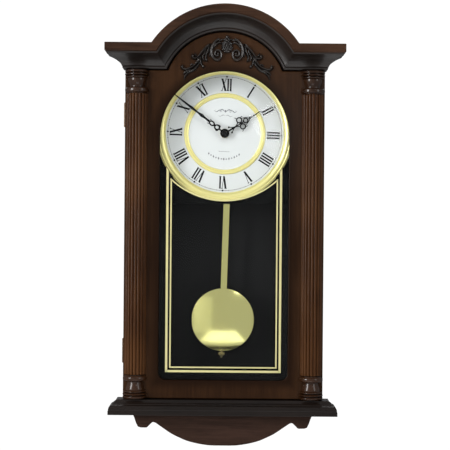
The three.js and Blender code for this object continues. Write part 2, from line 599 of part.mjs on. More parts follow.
let minuteArbor = gear(12, CANNON_R, -45.4, -47.2, 0, DIAL_Z, 90 + 15);
minuteArbor = minuteArbor.add(rodY(2.1, -48.4, -47.1, 0, DIAL_Z, 16)).add(rodY(1.4, -72.8, -48.3, 0, DIAL_Z, 16));
minuteArbor = minuteArbor.add(rodY(1.2, -45.5, -43, 0, DIAL_Z, 16));
add("minute_arbor", minuteArbor, BRASS);

let minuteWheel = gear(36, MINUTE_WHEEL_R, -46, -47, 0, WHEEL_Z, 90);
minuteWheel = minuteWheel.add(gear(10, PINION_R, -46.9, -49.9, 0, WHEEL_Z, 90)).subtract(rodY(1.1, -60, -40, 0, WHEEL_Z, 14));
add("minute_wheel", minuteWheel, WHITE);

let knob = gear(12, CANNON_R, -45.4, -47.2, 0, KNOB_Z, 90 + 15);
knob = knob.add(rodY(1.4, -45.5, -20, 0, KNOB_Z, 16)).add(rodY(7, -20.2, -15.2, 0, KNOB_Z, 18));
add("setting_knob", knob, PLASTIC);

// ---- movement -----------------------------------------------------------------------------------------
const MOVE = { x0: -58, x1: 58, z0: -156, z1: -62, back: -24, front: -50.9 };
let movement = box(MOVE.x0, MOVE.x1, MOVE.front, MOVE.back, MOVE.z0, MOVE.z1);
movement = movement.subtract(box(-24, 24, MOVE.front - 5, MOVE.back - 2.5, -126, MOVE.z1 - 3));
movement = movement.add(rodY(0.8, -50, MOVE.back - 2, 0, WHEEL_Z, 14)).add(rodY(2.2, -45.4, MOVE.back - 2, 0, WHEEL_Z, 14));
movement = movement.add(rodY(3, -42.6, MOVE.back - 2, 0, DIAL_Z, 14));
movement = movement.subtract(rodY(1.8, -44, -10, 0, KNOB_Z, 14));
const CELL = { r: 7.1, length: 50, y: -34, z: -146 };
const cellSpan = [[-54, -4], [4, 54]];
for (const [x0, x1] of cellSpan) {
  movement = movement.subtract(box(x0 - 0.5, x1 + 0.5, CELL.y - CELL.r - 0.4, MOVE.back + 5, CELL.z - CELL.r - 0.5, CELL.z + CELL.r + 0.5));
}
for (const [z, span] of [[-112, 8], [-124, 8]]) {
  movement = movement.subtract(box(30, 30 + 2 * span, MOVE.back - 3, MOVE.back + 5, z - 2.2, z + 2.2));
}
const lug = box(PIVOT_X - 7, PIVOT_X + 7, -39.2, -34, PIVOT_Z - 5, MOVE.z0 + 1);
movement = movement.add(lug).add(rodY(1.2, -45.6, -38, PIVOT_X, PIVOT_Z, 14));
add("movement_case", movement, PLASTIC);

let cover = box(-40, 40, -51.9, -51.2, -140, MOVE.z1 - 2);
cover = cover.add(rodY(4.6, -63.9, -51.5, 0, DIAL_Z, 20)).subtract(rodY(3.1, -80, -40, 0, DIAL_Z, 20));
add("movement_cover", cover, PLASTIC);
const hex = circlePoints(0, DIAL_Z, 7.6, 0, 300, 5);
const bushNut = plate(polygon(hex), -60.4, -62.4).subtract(rodY(4.8, -80, -50, 0, DIAL_Z, 20));
add("bush_nut", bushNut, BRASS);

cellSpan.forEach(([x0, x1], i) => {
  const profile = [[0, x0], [CELL.r, x0], [CELL.r, x1 - 1.8], [2.4, x1 - 1.8], [2.4, x1 - 0.6], [0, x1 - 0.6]];
  const g = new THREE.LatheGeometry(profile.map(([r, x]) => new THREE.Vector2(r, x)), 16);
  g.rotateZ(-Math.PI / 2);
  g.translate(0, CELL.y, CELL.z);
  add(i === 0 ? "cell_left" : "cell_right", solid(g), WRAP);
});

for (const [name, z] of [["chime_switch", -112], ["volume_switch", -124]]) {
  const stem = box(36, 40, MOVE.back - 2.6, MOVE.back + 0.4, z - 1.6, z + 1.6);
  add(name, stem.add(box(35, 41, MOVE.back + 0.3, MOVE.back + 2.4, z - 3.2, z + 3.2)), STEEL);
}

// ---- pendulum, drawn hanging straight down from its pivot -------------------------------------
const ROD_HALF = 4.95;
const rodFront = PENDULUM_Y - 1.5;
const rodMiddle = (PENDULUM_Y + rodFront) / 2;
const bobBottom = -BOB_DROP - BOB_R;
const rodOutline = [
  [-ROD_HALF, bobBottom + 8], [ROD_HALF, bobBottom + 8], ...circlePoints(0, 0, ROD_HALF, 0, 180, 8),
];
let pendulumRod = plate(polygon(rodOutline), PENDULUM_Y, rodFront);
pendulumRod = pendulumRod.add(rodZ(1.4, bobBottom - 13.5, bobBottom + 12, 0, rodMiddle, 12));
pendulumRod = pendulumRod.subtract(rodY(1.5, -60, -20, 0, 0, 16));
add("pendulum_rod", pendulumRod, BRASS, pendulum);

const bobFace = rodFront - 1;
const BOB_PROFILE = [
  [0, bobFace], [BOB_R - 0.6, bobFace], [BOB_R, bobFace - 0.9], [BOB_R - 0.8, bobFace - 2], [46, bobFace - 3.6],
  [36, bobFace - 5.6], [22, bobFace - 7], [10, bobFace - 7.7], [0, bobFace - 7.9],
];
add("pendulum_bob", turnY(BOB_PROFILE, 0, -BOB_DROP, 36), BRASS, pendulum);

const nutTop = bobBottom - 1.4;
const RATING_NUT = [
  [1.7, nutTop], [4.6, nutTop], [5, nutTop - 1], [5, nutTop - 5], [4.4, nutTop - 6.4], [2.6, nutTop - 8.6],
  [1.7, nutTop - 8.9], [1.7, nutTop],
];
add("rating_nut", turnZ(RATING_NUT, 0, rodMiddle, 18), BRASS, pendulum);

// ---- speaker ----------------------------------------------------------------------------------
const floorTop = BOX_FLOOR + 8 + GAP;
const SPEAKER_Y = -37;
const standing = (profile) => profile.map(([r, z]) => [r, floorTop + z]);
const BASKET = [
  [16, 0], [26, 0], [26, 2], [13, 9], [13, 17], [0, 17], [0, 15.4], [11.4, 15.4], [11.4, 8.4], [24, 1.6], [16, 1.2], [16, 0],
];
add("speaker_basket", turnZ(standing(BASKET), 0, SPEAKER_Y, 20), BLACK);
const CONE = [[0, 9], [7, 8.6], [15, 2.4], [15.4, 0.6], [14.6, 0.2], [6.4, 7.2], [0, 7.6]];
add("speaker_cone", turnZ(standing(CONE), 0, SPEAKER_Y, 20), PAPER);

export default root;
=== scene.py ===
"""Looks for the arched pendulum wall clock: a studio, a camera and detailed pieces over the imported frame."""

import math

import bmesh
import bpy
import numpy as np
from mathutils import Matrix, Vector


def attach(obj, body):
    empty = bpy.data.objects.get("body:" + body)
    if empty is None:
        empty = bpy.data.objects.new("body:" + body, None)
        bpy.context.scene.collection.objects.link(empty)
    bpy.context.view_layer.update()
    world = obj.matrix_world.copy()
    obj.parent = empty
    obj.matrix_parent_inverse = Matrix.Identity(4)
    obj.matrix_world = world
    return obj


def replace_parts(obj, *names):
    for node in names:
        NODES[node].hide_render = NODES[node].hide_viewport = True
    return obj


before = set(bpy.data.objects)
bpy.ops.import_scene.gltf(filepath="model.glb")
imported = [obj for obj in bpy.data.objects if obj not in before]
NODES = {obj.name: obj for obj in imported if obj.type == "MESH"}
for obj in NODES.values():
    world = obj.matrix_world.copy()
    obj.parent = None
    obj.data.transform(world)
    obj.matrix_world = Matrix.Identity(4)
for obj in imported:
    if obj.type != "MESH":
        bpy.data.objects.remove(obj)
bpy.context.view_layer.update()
MM = 0.001
WELD = 1e-6

# ---------------------------------------------------------------------------------------------------
# Leading sizes, in millimetres in the frame: +X to the viewer's right, the front faces -Y, +Z up.
DOOR_FRONT = -99.0
DOOR_HALF = 156.0
FACE_HALF = 155.5
BOARD_FRONT = -84.0
ARCH_Z = -37.5
ARCH_IN = 98.6
CROWN_BOTTOM = 0.5
CROWN_HEIGHT = 38.9
BASE_BOTTOM = -537.4
BASE_HEIGHT = 22.9
RETURN_BACK = -74.0
DIAL_Z = -96.7
WINDOW_HALF = 101.0
WINDOW_ARCH_Z = -102.4
WINDOW_BOTTOM = -484.7
COLUMN_X = 137.3
COLUMN_Y = DOOR_FRONT - 0.3
COLUMN_TOP, COLUMN_BOTTOM = -1.2, -512.9
COLUMN_MIDDLE = (COLUMN_TOP + COLUMN_BOTTOM) / 2


# ---------------------------------------------------------------------------------------------------
# Mesh helpers. Points are in millimetres and become metres when the mesh is made.
def finish_mesh(obj, material, body, smooth=32.0, weighted=True):
    """Shades the object, gives it its material, and makes it ride on its body."""
    mesh = obj.data
    if material is not None:
        mesh.materials.clear()
        mesh.materials.append(material)
    mesh.shade_smooth()
    mesh.set_sharp_from_angle(angle=math.radians(smooth))
    if weighted:
        modifier = obj.modifiers.new("weighted", "WEIGHTED_NORMAL")
        modifier.keep_sharp = True
        modifier.weight = 80
    if body:
        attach(obj, body)
    return obj


def clean(mesh):
    """Welds doubled points and turns the faces outwards."""
    work = bmesh.new()
    work.from_mesh(mesh)
    bmesh.ops.remove_doubles(work, verts=work.verts, dist=WELD)
    bmesh.ops.recalc_face_normals(work, faces=work.faces)
    work.to_mesh(mesh)
    work.free()


def place_object(name, data):
    obj = bpy.data.objects.new(name, data)
    bpy.context.scene.collection.objects.link(obj)
    return obj


def mesh_piece(name, shape, material, body, smooth=32.0, weighted=True):
    """A piece from a shape, which is (points in millimetres, faces)."""
    points, faces = shape
    mesh = bpy.data.meshes.new(name)
    mesh.from_pydata([(x * MM, y * MM, z * MM) for x, y, z in points], [], faces)
    mesh.validate()
    clean(mesh)
    return finish_mesh(place_object(name, mesh), material, body, smooth, weighted)


def ladder(rungs):
    """Faces of a flat strip whose points come in pairs."""
    return [[2 * i, 2 * i + 1, 2 * i + 3, 2 * i + 2] for i in range(rungs)]


def join_parts(parts):
    """Several shapes as one."""
    points, faces = [], []
    for more_points, more_faces in parts:
        shift = len(points)
        points += list(more_points)
        faces += [[i + shift for i in face] for face in more_faces]
    return points, faces


def skin(sections, closed_profile=True, closed_path=False, caps=True):
    """The shape made by equal-length sections joined one to the next."""
    count = len(sections[0])
    points = [p for section in sections for p in section]
    faces = []
    steps = len(sections) if closed_path else len(sections) - 1
    around = count if closed_profile else count - 1
    for s in range(steps):
        a, b = s * count, ((s + 1) % len(sections)) * count
        for i in range(around):
            j = (i + 1) % count
            faces.append([a + i, a + j, b + j, b + i])
    if caps and closed_profile and not closed_path:
        faces.append(list(range(count))[::-1])
        faces.append([(len(sections) - 1) * count + i for i in range(count)])
    return points, faces


def lathe(profile, place, segments=96, start=0.0, sweep=360.0):
    """The shape of a [radius, height] profile turned about an axis by place(radius, height, angle)."""
    full = abs(sweep - 360.0) < 1e-6
    count = segments if full else segments + 1
    sections = []
    for i in range(count):
        angle = math.radians(start + sweep * i / segments)
        sections.append([place(r, h, angle) for r, h in profile])
    return skin(sections, closed_profile=False, closed_path=full, caps=False)


def about_y(cx, cz):
    """Place for a lathe whose axis runs along Y: a profile's height is its y."""
    return lambda r, h, a: (cx + r * math.cos(a), h, cz + r * math.sin(a))


def about_z(cx, cy):
    """Place for a lathe whose axis runs along Z: a profile's height is its z."""
    return lambda r, h, a: (cx + r * math.cos(a), cy + r * math.sin(a), h)


def smooth_line(points, per=6, closed=False):
    """A Catmull-Rom curve through the points."""
    data = [np.array(p, float) for p in points]
    n = len(data)
    out = []
    last = n if closed else n - 1
    for i in range(last):
        p1, p2 = data[i], data[(i + 1) % n]
        p0 = data[(i - 1) % n] if closed or i > 0 else 2 * p1 - p2
        p3 = data[(i + 2) % n] if closed or i + 2 < n else 2 * p2 - p1
        for k in range(per):
            t = k / per
            out.append(
                0.5 * ((2 * p1) + (p2 - p0) * t + (2 * p0 - 5 * p1 + 4 * p2 - p3) * t * t
                       + (3 * p1 - p0 - 3 * p2 + p3) * t ** 3)
            )
    if not closed:
        out.append(data[-1])
    return [tuple(p) for p in out]


def soften(profile, radius, corner=25.0, steps=3, closed=False):
    """Rounds the profile's corners that turn by more than `corner` degrees."""
    data = [np.array(p, float) for p in profile]
    out = []
    for i, p in enumerate(data):
        if not closed and i in (0, len(data) - 1):
            out.append(tuple(p))
            continue
        before, after = data[i - 1] - p, data[(i + 1) % len(data)] - p
        la, lb = np.linalg.norm(before), np.linalg.norm(after)
        turn = 180 - math.degrees(math.acos(np.clip(before @ after / (la * lb), -1, 1)))
        if turn < corner:
            out.append(tuple(p))
            continue
        reach = min(radius * math.tan(math.radians(turn / 2)), 0.45 * la, 0.45 * lb)
        a, b = p + before / la * reach, p + after / lb * reach
        for k in range(steps + 1):
            t = k / steps
            out.append(tuple((1 - t) ** 2 * a + 2 * t * (1 - t) * p + t * t * b))
    return out


def plate(name, outlines, y_back, y_front, material, body, edge, steps=3):
    """A flat piece from closed outlines of (x, z); those inside others are holes. `edge` rounds its edges."""
    curve = bpy.data.curves.new(name, "CURVE")
    curve.dimensions = "2D"
    curve.fill_mode = "BOTH"
    for outline in outlines:
        spline = curve.splines.new("POLY")
        spline.points.add(len(outline) - 1)
        for point, (x, z) in zip(spline.points, outline):
            point.co = (x * MM, z * MM, 0, 1)
        spline.use_cyclic_u = True
    half = abs(y_back - y_front) / 2 * MM
    curve.extrude = max(half - edge * MM, 0)
    curve.bevel_depth = edge * MM
    curve.offset = -edge * MM
    curve.bevel_resolution = steps
    holder = place_object(name, curve)
    bpy.context.view_layer.update()
    mesh = bpy.data.meshes.new_from_object(holder.evaluated_get(bpy.context.evaluated_depsgraph_get()))
    bpy.data.objects.remove(holder)
    bpy.data.curves.remove(curve)
    middle = (y_back + y_front) / 2 * MM
    mesh.transform(Matrix(((1, 0, 0, 0), (0, 0, -1, middle), (0, 1, 0, 0), (0, 0, 0, 1))))
    clean(mesh)
    mesh.name = name
    return finish_mesh(place_object(name, mesh), material, body)


def join_pieces(name, pieces):
    """Joins pieces of one body and material into one."""
    bpy.ops.object.select_all(action="DESELECT")
    for piece in pieces:
        piece.select_set(True)
    bpy.context.view_layer.objects.active = pieces[0]
    bpy.ops.object.join()
    pieces[0].name = name
    return pieces[0]


def arc(cx, cz, radius, start, end, steps):
    """Points of an arc, ends included, angles in degrees."""
    return [
        (cx + radius * math.cos(math.radians(start + (end - start) * i / steps)),
         cz + radius * math.sin(math.radians(start + (end - start) * i / steps)))
        for i in range(steps + 1)
    ]


def tombstone(half, arch_z, bottom, corner, steps=64):
    """Outline of a window with an arched top and rounded lower corners."""
    return (
        arc(0, arch_z, half, 0, 180, steps)
        + arc(-half + corner, bottom + corner, corner, 180, 270, 8)
        + arc(half - corner, bottom + corner, corner, 270, 360, 8)
    )


def arched_board(half, bottom, shoulder, radius, steps=64):
    """Outline of a board with square shoulders under a round arch."""
    reach = math.sqrt(radius ** 2 - (shoulder - ARCH_Z) ** 2)
    start = math.degrees(math.atan2(shoulder - ARCH_Z, reach))
    return (
        [(-half, bottom), (half, bottom), (half, shoulder)]
        + arc(0, ARCH_Z, radius, start, 180 - start, steps)
        + [(-half, shoulder)]
    )


# ---------------------------------------------------------------------------------------------------
# Materials. Every pattern reads object coordinates, so it stays on the part.
class Shader:
    """A node material with one Principled shader."""

    def __init__(self, name, **values):
        self.material = bpy.data.materials.new(name)
        self.material.use_nodes = True
        self.tree = self.material.node_tree
        self.tree.nodes.clear()
        self.output = self.tree.nodes.new("ShaderNodeOutputMaterial")
        self.surface = self.node("BsdfPrincipled", **values)
        self.link(self.surface.outputs[0], self.output.inputs["Surface"])
        self.position = self.node("TexCoord").outputs["Object"]

    def node(self, kind, settings=None, **values):
        """A node; settings are its own properties and values its sockets. A socket may be linked or set."""
        made = self.tree.nodes.new("ShaderNode" + kind)
        for key, value in (settings or {}).items():
            setattr(made, key, value)
        for key, value in values.items():
            self.put(made.inputs[key.replace("_", " ")], value)
        return made

    def put(self, socket, value):
        if isinstance(value, bpy.types.NodeSocket):
            self.link(value, socket)
        elif socket.type == "RGBA" and len(value) == 3:
            socket.default_value = (*value, 1)
        else:
            socket.default_value = value

    def link(self, a, b):
        self.tree.links.new(a, b)

    def scaled(self, scale, source=None):
        """The position, scaled by (x, y, z)."""
        made = self.node("Mapping", {"vector_type": "POINT"}, Vector=source or self.position, Scale=scale)
        return made.outputs[0]

    def noise(self, scale, detail=3.0, roughness=0.5, vector=None, distortion=0.0):
        made = self.node("TexNoise", Vector=vector or self.position, Scale=scale, Detail=detail,
                         Roughness=roughness, Distortion=distortion)
        return made.outputs["Fac"]

    def math(self, operation, a, b=0.0):
        made = self.tree.nodes.new("ShaderNodeMath")
        made.operation = operation
        self.put(made.inputs[0], a)
        self.put(made.inputs[1], b)
        return made.outputs[0]

    def plus(self, a, b):
        return self.math("ADD", a, b)

    def minus(self, a, b):
        return self.math("SUBTRACT", a, b)

    def times(self, a, b):
        return self.math("MULTIPLY", a, b)

    def reach(self, a, b):
        """Distance out from the origin of two coordinates."""
        return self.math("SQRT", self.plus(self.times(a, a), self.times(b, b)))

    def ramp(self, value, low, high, to_low=0.0, to_high=1.0):
        """value mapped from low..high onto to_low..to_high, smoothly, and held beyond."""
        made = self.node("MapRange", {"interpolation_type": "SMOOTHSTEP"}, Value=value)
        for key, number in zip(("From Min", "From Max", "To Min", "To Max"), (low, high, to_low, to_high)):
            self.put(made.inputs[key], number)
        return made.outputs["Result"]

    def mix(self, amount, a, b, blend="MIX"):
        made = self.node("Mix", {"data_type": "RGBA", "blend_type": blend, "clamp_factor": True})
        self.put(made.inputs[0], amount)
        self.put(made.inputs[6], a)
        self.put(made.inputs[7], b)
        return made.outputs[2]

    def axis(self, letter):
        """One coordinate of the position, in metres."""
        return self.node("SeparateXYZ", Vector=self.position).outputs[letter]

    def bump(self, height, distance, strength=1.0, normal=None):
        made = self.node("Bump", Height=height, Distance=distance, Strength=strength)
        if normal is not None:
            self.link(normal, made.inputs["Normal"])
        return made.outputs[0]

    def set(self, **values):
        for key, value in values.items():
            self.put(self.surface.inputs[key.replace("_", " ")], value)
        return self.material


GRAIN = {"X": (3, 60, 60), "Y": (60, 3, 60), "Z": (60, 60, 3)}


def window_distance(shader):
    """Distance out from the edge of the door's window, in metres."""
    x, z = shader.axis("X"), shader.axis("Z")
    rise = shader.math("MAXIMUM", shader.minus(z, WINDOW_ARCH_Z * MM), 0.0)
    beside = shader.minus(shader.reach(x, rise), WINDOW_HALF * MM)
    below = shader.minus(WINDOW_BOTTOM * MM, z)
    return shader.math("MAXIMUM", beside, below)


def wood(name, deep, body_tone, light, grain="Z", rough=0.45, coat=0.03, coat_rough=0.16, spec=0.05,
         darkening=None, pores=0.6):
    """Stained and lacquered hardwood. darkening(shader) gives where the colour is made darker, 0 to 1."""
    s = Shader(name, Coat_Weight=coat, Coat_Roughness=coat_rough, Coat_IOR=1.5, Specular_IOR_Level=spec)
    along = s.scaled(GRAIN[grain])
    sway = s.noise(4.0, 3.0, 0.5, along, 0.6)
    fibres = s.noise(26.0, 6.0, 0.65, along, 0.25)
    broad = s.noise(7.0, 2.0, 0.5)
    shorter = tuple(v if v > 10 else v * 1.6 for v in GRAIN[grain])
    pore_lines = s.noise(60.0, 2.0, 0.6, s.scaled(shorter))
    streak = s.ramp(s.plus(s.times(sway, 0.6), s.times(fibres, 0.4)), 0.34, 0.66)
    colour = s.mix(streak, deep, body_tone)
    colour = s.mix(s.ramp(broad, 0.42, 0.72, 0.0, 0.55), colour, light)
    pits = s.ramp(pore_lines, 0.56, 0.68)
    colour = s.mix(s.times(pits, 0.45 * pores), colour, tuple(c * 0.35 for c in deep))
    # darkening: toner round the door's window; painted shade in the column hollows
    if darkening is not None:
        colour = s.mix(darkening(s), colour, tuple(c * 0.55 for c in deep))
    smudge = s.noise(38.0, 4.0, 0.6)
    s.set(Base_Color=colour, Roughness=s.ramp(smudge, 0.3, 0.75, rough - 0.06, rough + 0.09))
    height = s.plus(s.times(fibres, 0.5), s.times(pits, -0.6))
    ripple = s.noise(55.0, 2.0, 0.4)
    normal = s.bump(height, 0.00006, 0.4)
    normal = s.bump(ripple, 0.0002, 0.3, normal)
    s.set(Normal=normal)
    s.put(s.surface.inputs["Coat Normal"], s.bump(ripple, 0.00015, 0.25))
    return s.material


def window_toner(s):
    """The lacquer is shaded darker towards the window's edge."""
    drift = s.times(s.minus(s.noise(9.0, 2.0), 0.5), 0.006)
    return s.ramp(s.plus(window_distance(s), drift), 0.001, 0.019, 0.92, 0.0)


def column_hollow_shade(s):
    """Painted shade in the hollows between the reeds and the turned beads, left off the turned waists."""
    across = s.minus(s.math("ABSOLUTE", s.axis("X")), COLUMN_X * MM)
    out = s.minus(s.axis("Y"), COLUMN_Y * MM)
    hollow = s.ramp(s.reach(across, out), 0.0146, 0.0166, 0.95, 0.0)
    from_middle = s.math("ABSOLUTE", s.minus(s.axis("Z"), COLUMN_MIDDLE * MM))
    inward, outward = s.ramp(from_middle, 0.2288, 0.2300), s.ramp(from_middle, 0.2425, 0.2437, 1.0, 0.0)
    neck = s.times(inward, outward)
    return s.times(hollow, s.minus(1.0, neck))


def metal(name, colour, dark, rough, scratch, tint_scale=18.0, detail=0.00002, metallic=1.0):
    """Metal with a thin film of tarnish and faint scratches."""
    s = Shader(name, Metallic=metallic)
    film = s.noise(tint_scale, 4.0, 0.6)
    tone = s.mix(s.ramp(film, 0.35, 0.75, 0.0, 0.5), colour, dark)
    lines = s.noise(240.0, 3.0, 0.7, s.scaled((1, 1, 1)))
    specks = s.ramp(s.noise(900.0, 2.0), 0.62, 0.72)
    level = s.plus(s.ramp(film, 0.3, 0.8, rough - 0.02, rough + 0.06),
                   s.times(s.minus(lines, 0.5), 0.12 * scratch))
    level = s.plus(level, s.times(specks, 0.08))
    s.set(Base_Color=tone, Roughness=level)
    s.set(Normal=s.bump(lines, detail, scratch))
    return s.material


def plastic(name, colour, rough=0.45, speckle=900.0, depth=0.00006):
    """Moulded plastic with a fine spark-eroded texture and slight mottling."""
    s = Shader(name, IOR=1.5)
    grain = s.noise(speckle, 3.0, 0.6)
    mottle = s.noise(24.0, 3.0)
    lighter = tuple(min(1.0, c * 1.5 + 0.006) for c in colour)
    s.set(Base_Color=s.mix(s.ramp(mottle, 0.35, 0.75, 0.0, 0.6), colour, lighter),
          Roughness=s.ramp(grain, 0.3, 0.7, rough - 0.06, rough + 0.1))
    s.set(Normal=s.bump(grain, depth, 0.5))
    return s.material


def paint(name, colour, worn, rough=0.35, coat=0.0, depth=0.00003, spec=0.12):
    """Sprayed paint with orange peel and a little unevenness."""
    s = Shader(name, Coat_Weight=coat, Coat_Roughness=0.08, Specular_IOR_Level=spec)
    cloud = s.noise(30.0, 4.0, 0.6)
    peel = s.noise(320.0, 2.0, 0.5)
    s.set(Base_Color=s.mix(s.ramp(cloud, 0.4, 0.8, 0.0, 0.5), colour, worn),
          Roughness=s.ramp(s.noise(70.0, 3.0), 0.3, 0.75, rough - 0.05, rough + 0.1))
    s.set(Normal=s.bump(peel, depth, 0.4))
    return s.material


DEEP, BROWN, WARM = (0.0140, 0.0057, 0.0023), (0.0235, 0.0098, 0.0038), (0.040, 0.0176, 0.0072)
DOOR_WOOD = wood("door_wood", DEEP, BROWN, WARM, darkening=window_toner, coat=0.12, coat_rough=0.2, spec=0.0)
APRON_WOOD = wood("apron_wood", (0.016, 0.0080, 0.0052), (0.030, 0.0152, 0.0104), (0.041, 0.0210, 0.0142),
                  grain="X", pores=0.4)
SIDE_WOOD = wood("side_wood", DEEP, BROWN, WARM)
COLUMN_WOOD = wood("column_wood", (0.019, 0.0062, 0.0015), (0.041, 0.0152, 0.0042), (0.072, 0.0285, 0.0090),
                   rough=0.38, coat=0.12, coat_rough=0.14, spec=0.04, pores=0.35, darkening=column_hollow_shade)
TURNED_WOOD = wood("turned_wood", (0.008, 0.0029, 0.0010), (0.019, 0.0072, 0.0026), (0.036, 0.0138, 0.0052),
                   rough=0.36, coat=0.5, coat_rough=0.09, spec=0.05, pores=0.35, darkening=column_hollow_shade)
MOULDING_WOOD = wood("moulding_wood", (0.0042, 0.0028, 0.0022), (0.0085, 0.0056, 0.0044),
                     (0.014, 0.0092, 0.0070), grain="X", rough=0.40, coat=0.45, coat_rough=0.28, spec=0.2)
BASE_WOOD = wood("base_wood", (0.0036, 0.0024, 0.0019), (0.0072, 0.0046, 0.0035), (0.012, 0.0078, 0.0060),
                 grain="X", rough=0.42, coat=0.34, coat_rough=0.12, spec=0.05)
FASCIA_WOOD = wood("fascia_wood", (0.012, 0.0052, 0.0026), (0.032, 0.0145, 0.0075), (0.046, 0.0215, 0.0115),
                   grain="X", rough=0.45, coat=0.04, spec=0.06)
BOARD_WOOD = wood("board_wood", (0.008, 0.005, 0.004), (0.020, 0.012, 0.009), (0.035, 0.02, 0.014), coat=0.3)
PINE_WOOD = wood("pine_wood", (0.42, 0.26, 0.13), (0.60, 0.42, 0.24), (0.68, 0.50, 0.31), grain="X",
                 rough=0.6, coat=0.0, pores=0.35)


def carved_lacquer():
    """Near-black lacquer over carving: painted shade low down, painted highlight up high and on sharp edges.
    """
    s = Shader("carved_lacquer", Coat_Weight=0.8, Coat_Roughness=0.07, Specular_IOR_Level=0.1)
    # Painted highlight high in the relief and on its sharp edges; painted shade low down.
    lift = s.ramp(s.minus(DOOR_FRONT * MM, s.axis("Y")), 0.0015, 0.0068)
    edge_highlight = s.ramp(s.node("NewGeometry").outputs["Pointiness"], 0.48, 0.56, 0.35, 1.0)
    cloud = s.noise(120.0, 3.0)
    relief_light_and_shade = s.times(s.times(lift, edge_highlight), s.ramp(cloud, 0.3, 0.7, 0.5, 1.0))
    tone = s.mix(relief_light_and_shade, (0.0018, 0.0012, 0.0010), (0.020, 0.0145, 0.0115))
    s.set(Base_Color=tone, Roughness=s.ramp(cloud, 0.3, 0.7, 0.24, 0.4))
    s.set(Normal=s.bump(s.noise(420.0, 3.0), 0.00005, 0.5))
    return s.material


def fibreboard():
    """Raw hardboard: short fibres, and a shinier pressed skin."""
    s = Shader("fibreboard")
    fibres = s.noise(260.0, 6.0, 0.75, s.scaled((1, 1, 0.6)))
    cloud = s.noise(9.0, 3.0)
    tone = s.mix(s.ramp(fibres, 0.3, 0.7), (0.16, 0.095, 0.05), (0.33, 0.22, 0.13))
    tone = s.mix(s.ramp(cloud, 0.3, 0.8, 0.0, 0.35), tone, (0.22, 0.14, 0.08))
    s.set(Base_Color=tone, Roughness=s.ramp(fibres, 0.3, 0.7, 0.55, 0.75))
    s.set(Normal=s.bump(fibres, 0.00015, 0.6))
    return s.material


def lining_cloth():
    """Black lining paper on the inside of the case, with a faint felt grain."""
    s = Shader("lining_black", Specular_IOR_Level=0.15)
    fibres = s.noise(520.0, 5.0, 0.7, s.scaled((1, 1, 0.4)))
    cloud = s.noise(6.0, 3.0)
    tone = s.mix(s.ramp(fibres, 0.3, 0.7), (0.0040, 0.0042, 0.0044), (0.0070, 0.0072, 0.0075))
    tone = s.mix(s.ramp(cloud, 0.3, 0.8, 0.0, 0.5), tone, (0.0085, 0.0085, 0.009))
    s.set(Base_Color=tone, Roughness=s.ramp(cloud, 0.3, 0.7, 0.55, 0.7))
    s.set(Normal=s.bump(fibres, 0.0001, 0.5))
    return s.material


def enamel():
    """Satin white enamel, a little cloudy, with painted shade making it darker and cooler towards the rim."""
    s = Shader("dial_enamel", Specular_IOR_Level=0.2)
    x, z = s.axis("X"), s.minus(s.axis("Z"), DIAL_Z * MM)
    cloud = s.noise(26.0, 4.0)
    # painted shade: darker and cooler towards the rim
    tone = s.mix(s.ramp(s.reach(x, z), 0.05, 0.095, 0.0, 0.55), (0.60, 0.618, 0.615), (0.555, 0.575, 0.585))
    tone = s.mix(s.ramp(cloud, 0.4, 0.8, 0.0, 0.3), tone, (0.545, 0.565, 0.565))
    s.set(Base_Color=tone, Roughness=s.ramp(cloud, 0.3, 0.7, 0.4, 0.52))
    s.set(Normal=s.bump(s.noise(600.0, 2.0), 0.00002, 0.4))
    return s.material


def pane_glass():
    """A thin clear pane: what it doesn't mirror passes straight through."""
    s = Shader("pane_glass")
    s.tree.nodes.remove(s.surface)
    dust = s.ramp(s.noise(46.0, 6.0, 0.7), 0.52, 0.8, 0.0, 1.0)
    clear = s.node("BsdfTransparent", Color=(0.975, 0.98, 0.98))
    sheen = s.node("BsdfGlossy", Color=(1, 1, 1), Roughness=s.ramp(dust, 0.0, 1.0, 0.015, 0.05))
    facing = s.node("LayerWeight", Blend=0.2).outputs["Fresnel"]
    share = s.ramp(facing, 0.0, 1.0, 0.004, 0.7)
    mixed = s.node("MixShader")
    s.link(share, mixed.inputs[0])
    s.link(clear.outputs[0], mixed.inputs[1])
    s.link(sheen.outputs[0], mixed.inputs[2])
    s.link(mixed.outputs[0], s.output.inputs["Surface"])
    return s.material


CARVED = carved_lacquer()
FIBRE = fibreboard()
LINING = lining_cloth()
ENAMEL = enamel()
PANE = pane_glass()
GILT = metal("gilt", (0.94, 0.86, 0.36), (0.88, 0.78, 0.28), 0.30, 0.02, detail=0.0000002, metallic=0.6)
BRASS = metal("polished_brass", (0.90, 0.855, 0.35), (0.83, 0.775, 0.28), 0.13, 0.12, detail=0.000003)
BRONZE = metal("hinge_bronze", (0.10, 0.062, 0.035), (0.045, 0.028, 0.018), 0.36, 0.7)
AGED_BRASS = metal("aged_brass", (0.36, 0.31, 0.15), (0.24, 0.20, 0.10), 0.36, 0.4)
WORKS_BRASS = metal("works_brass", (0.78, 0.61, 0.29), (0.66, 0.50, 0.22), 0.26, 0.5)
ZINC = metal("zinc_steel", (0.62, 0.63, 0.65), (0.42, 0.44, 0.47), 0.32, 0.8, tint_scale=60.0)
GOLD_INK = paint("gold_ink", (0.60, 0.54, 0.265), (0.53, 0.47, 0.215), 0.38)
BLACK_INK = paint("black_ink", (0.0022, 0.0025, 0.0028), (0.0040, 0.0043, 0.0046), 0.5, spec=0.03)
DIAL_INK = paint("dial_ink", (0.004, 0.004, 0.0045), (0.009, 0.009, 0.010), 0.55, spec=0.04)
GREY_INK = paint("grey_ink", (0.13, 0.135, 0.15), (0.18, 0.185, 0.20), 0.55)
HAND_PAINT = paint("hand_paint", (0.004, 0.004, 0.0045), (0.010, 0.010, 0.0105), 0.28, coat=0.12, spec=0.06)
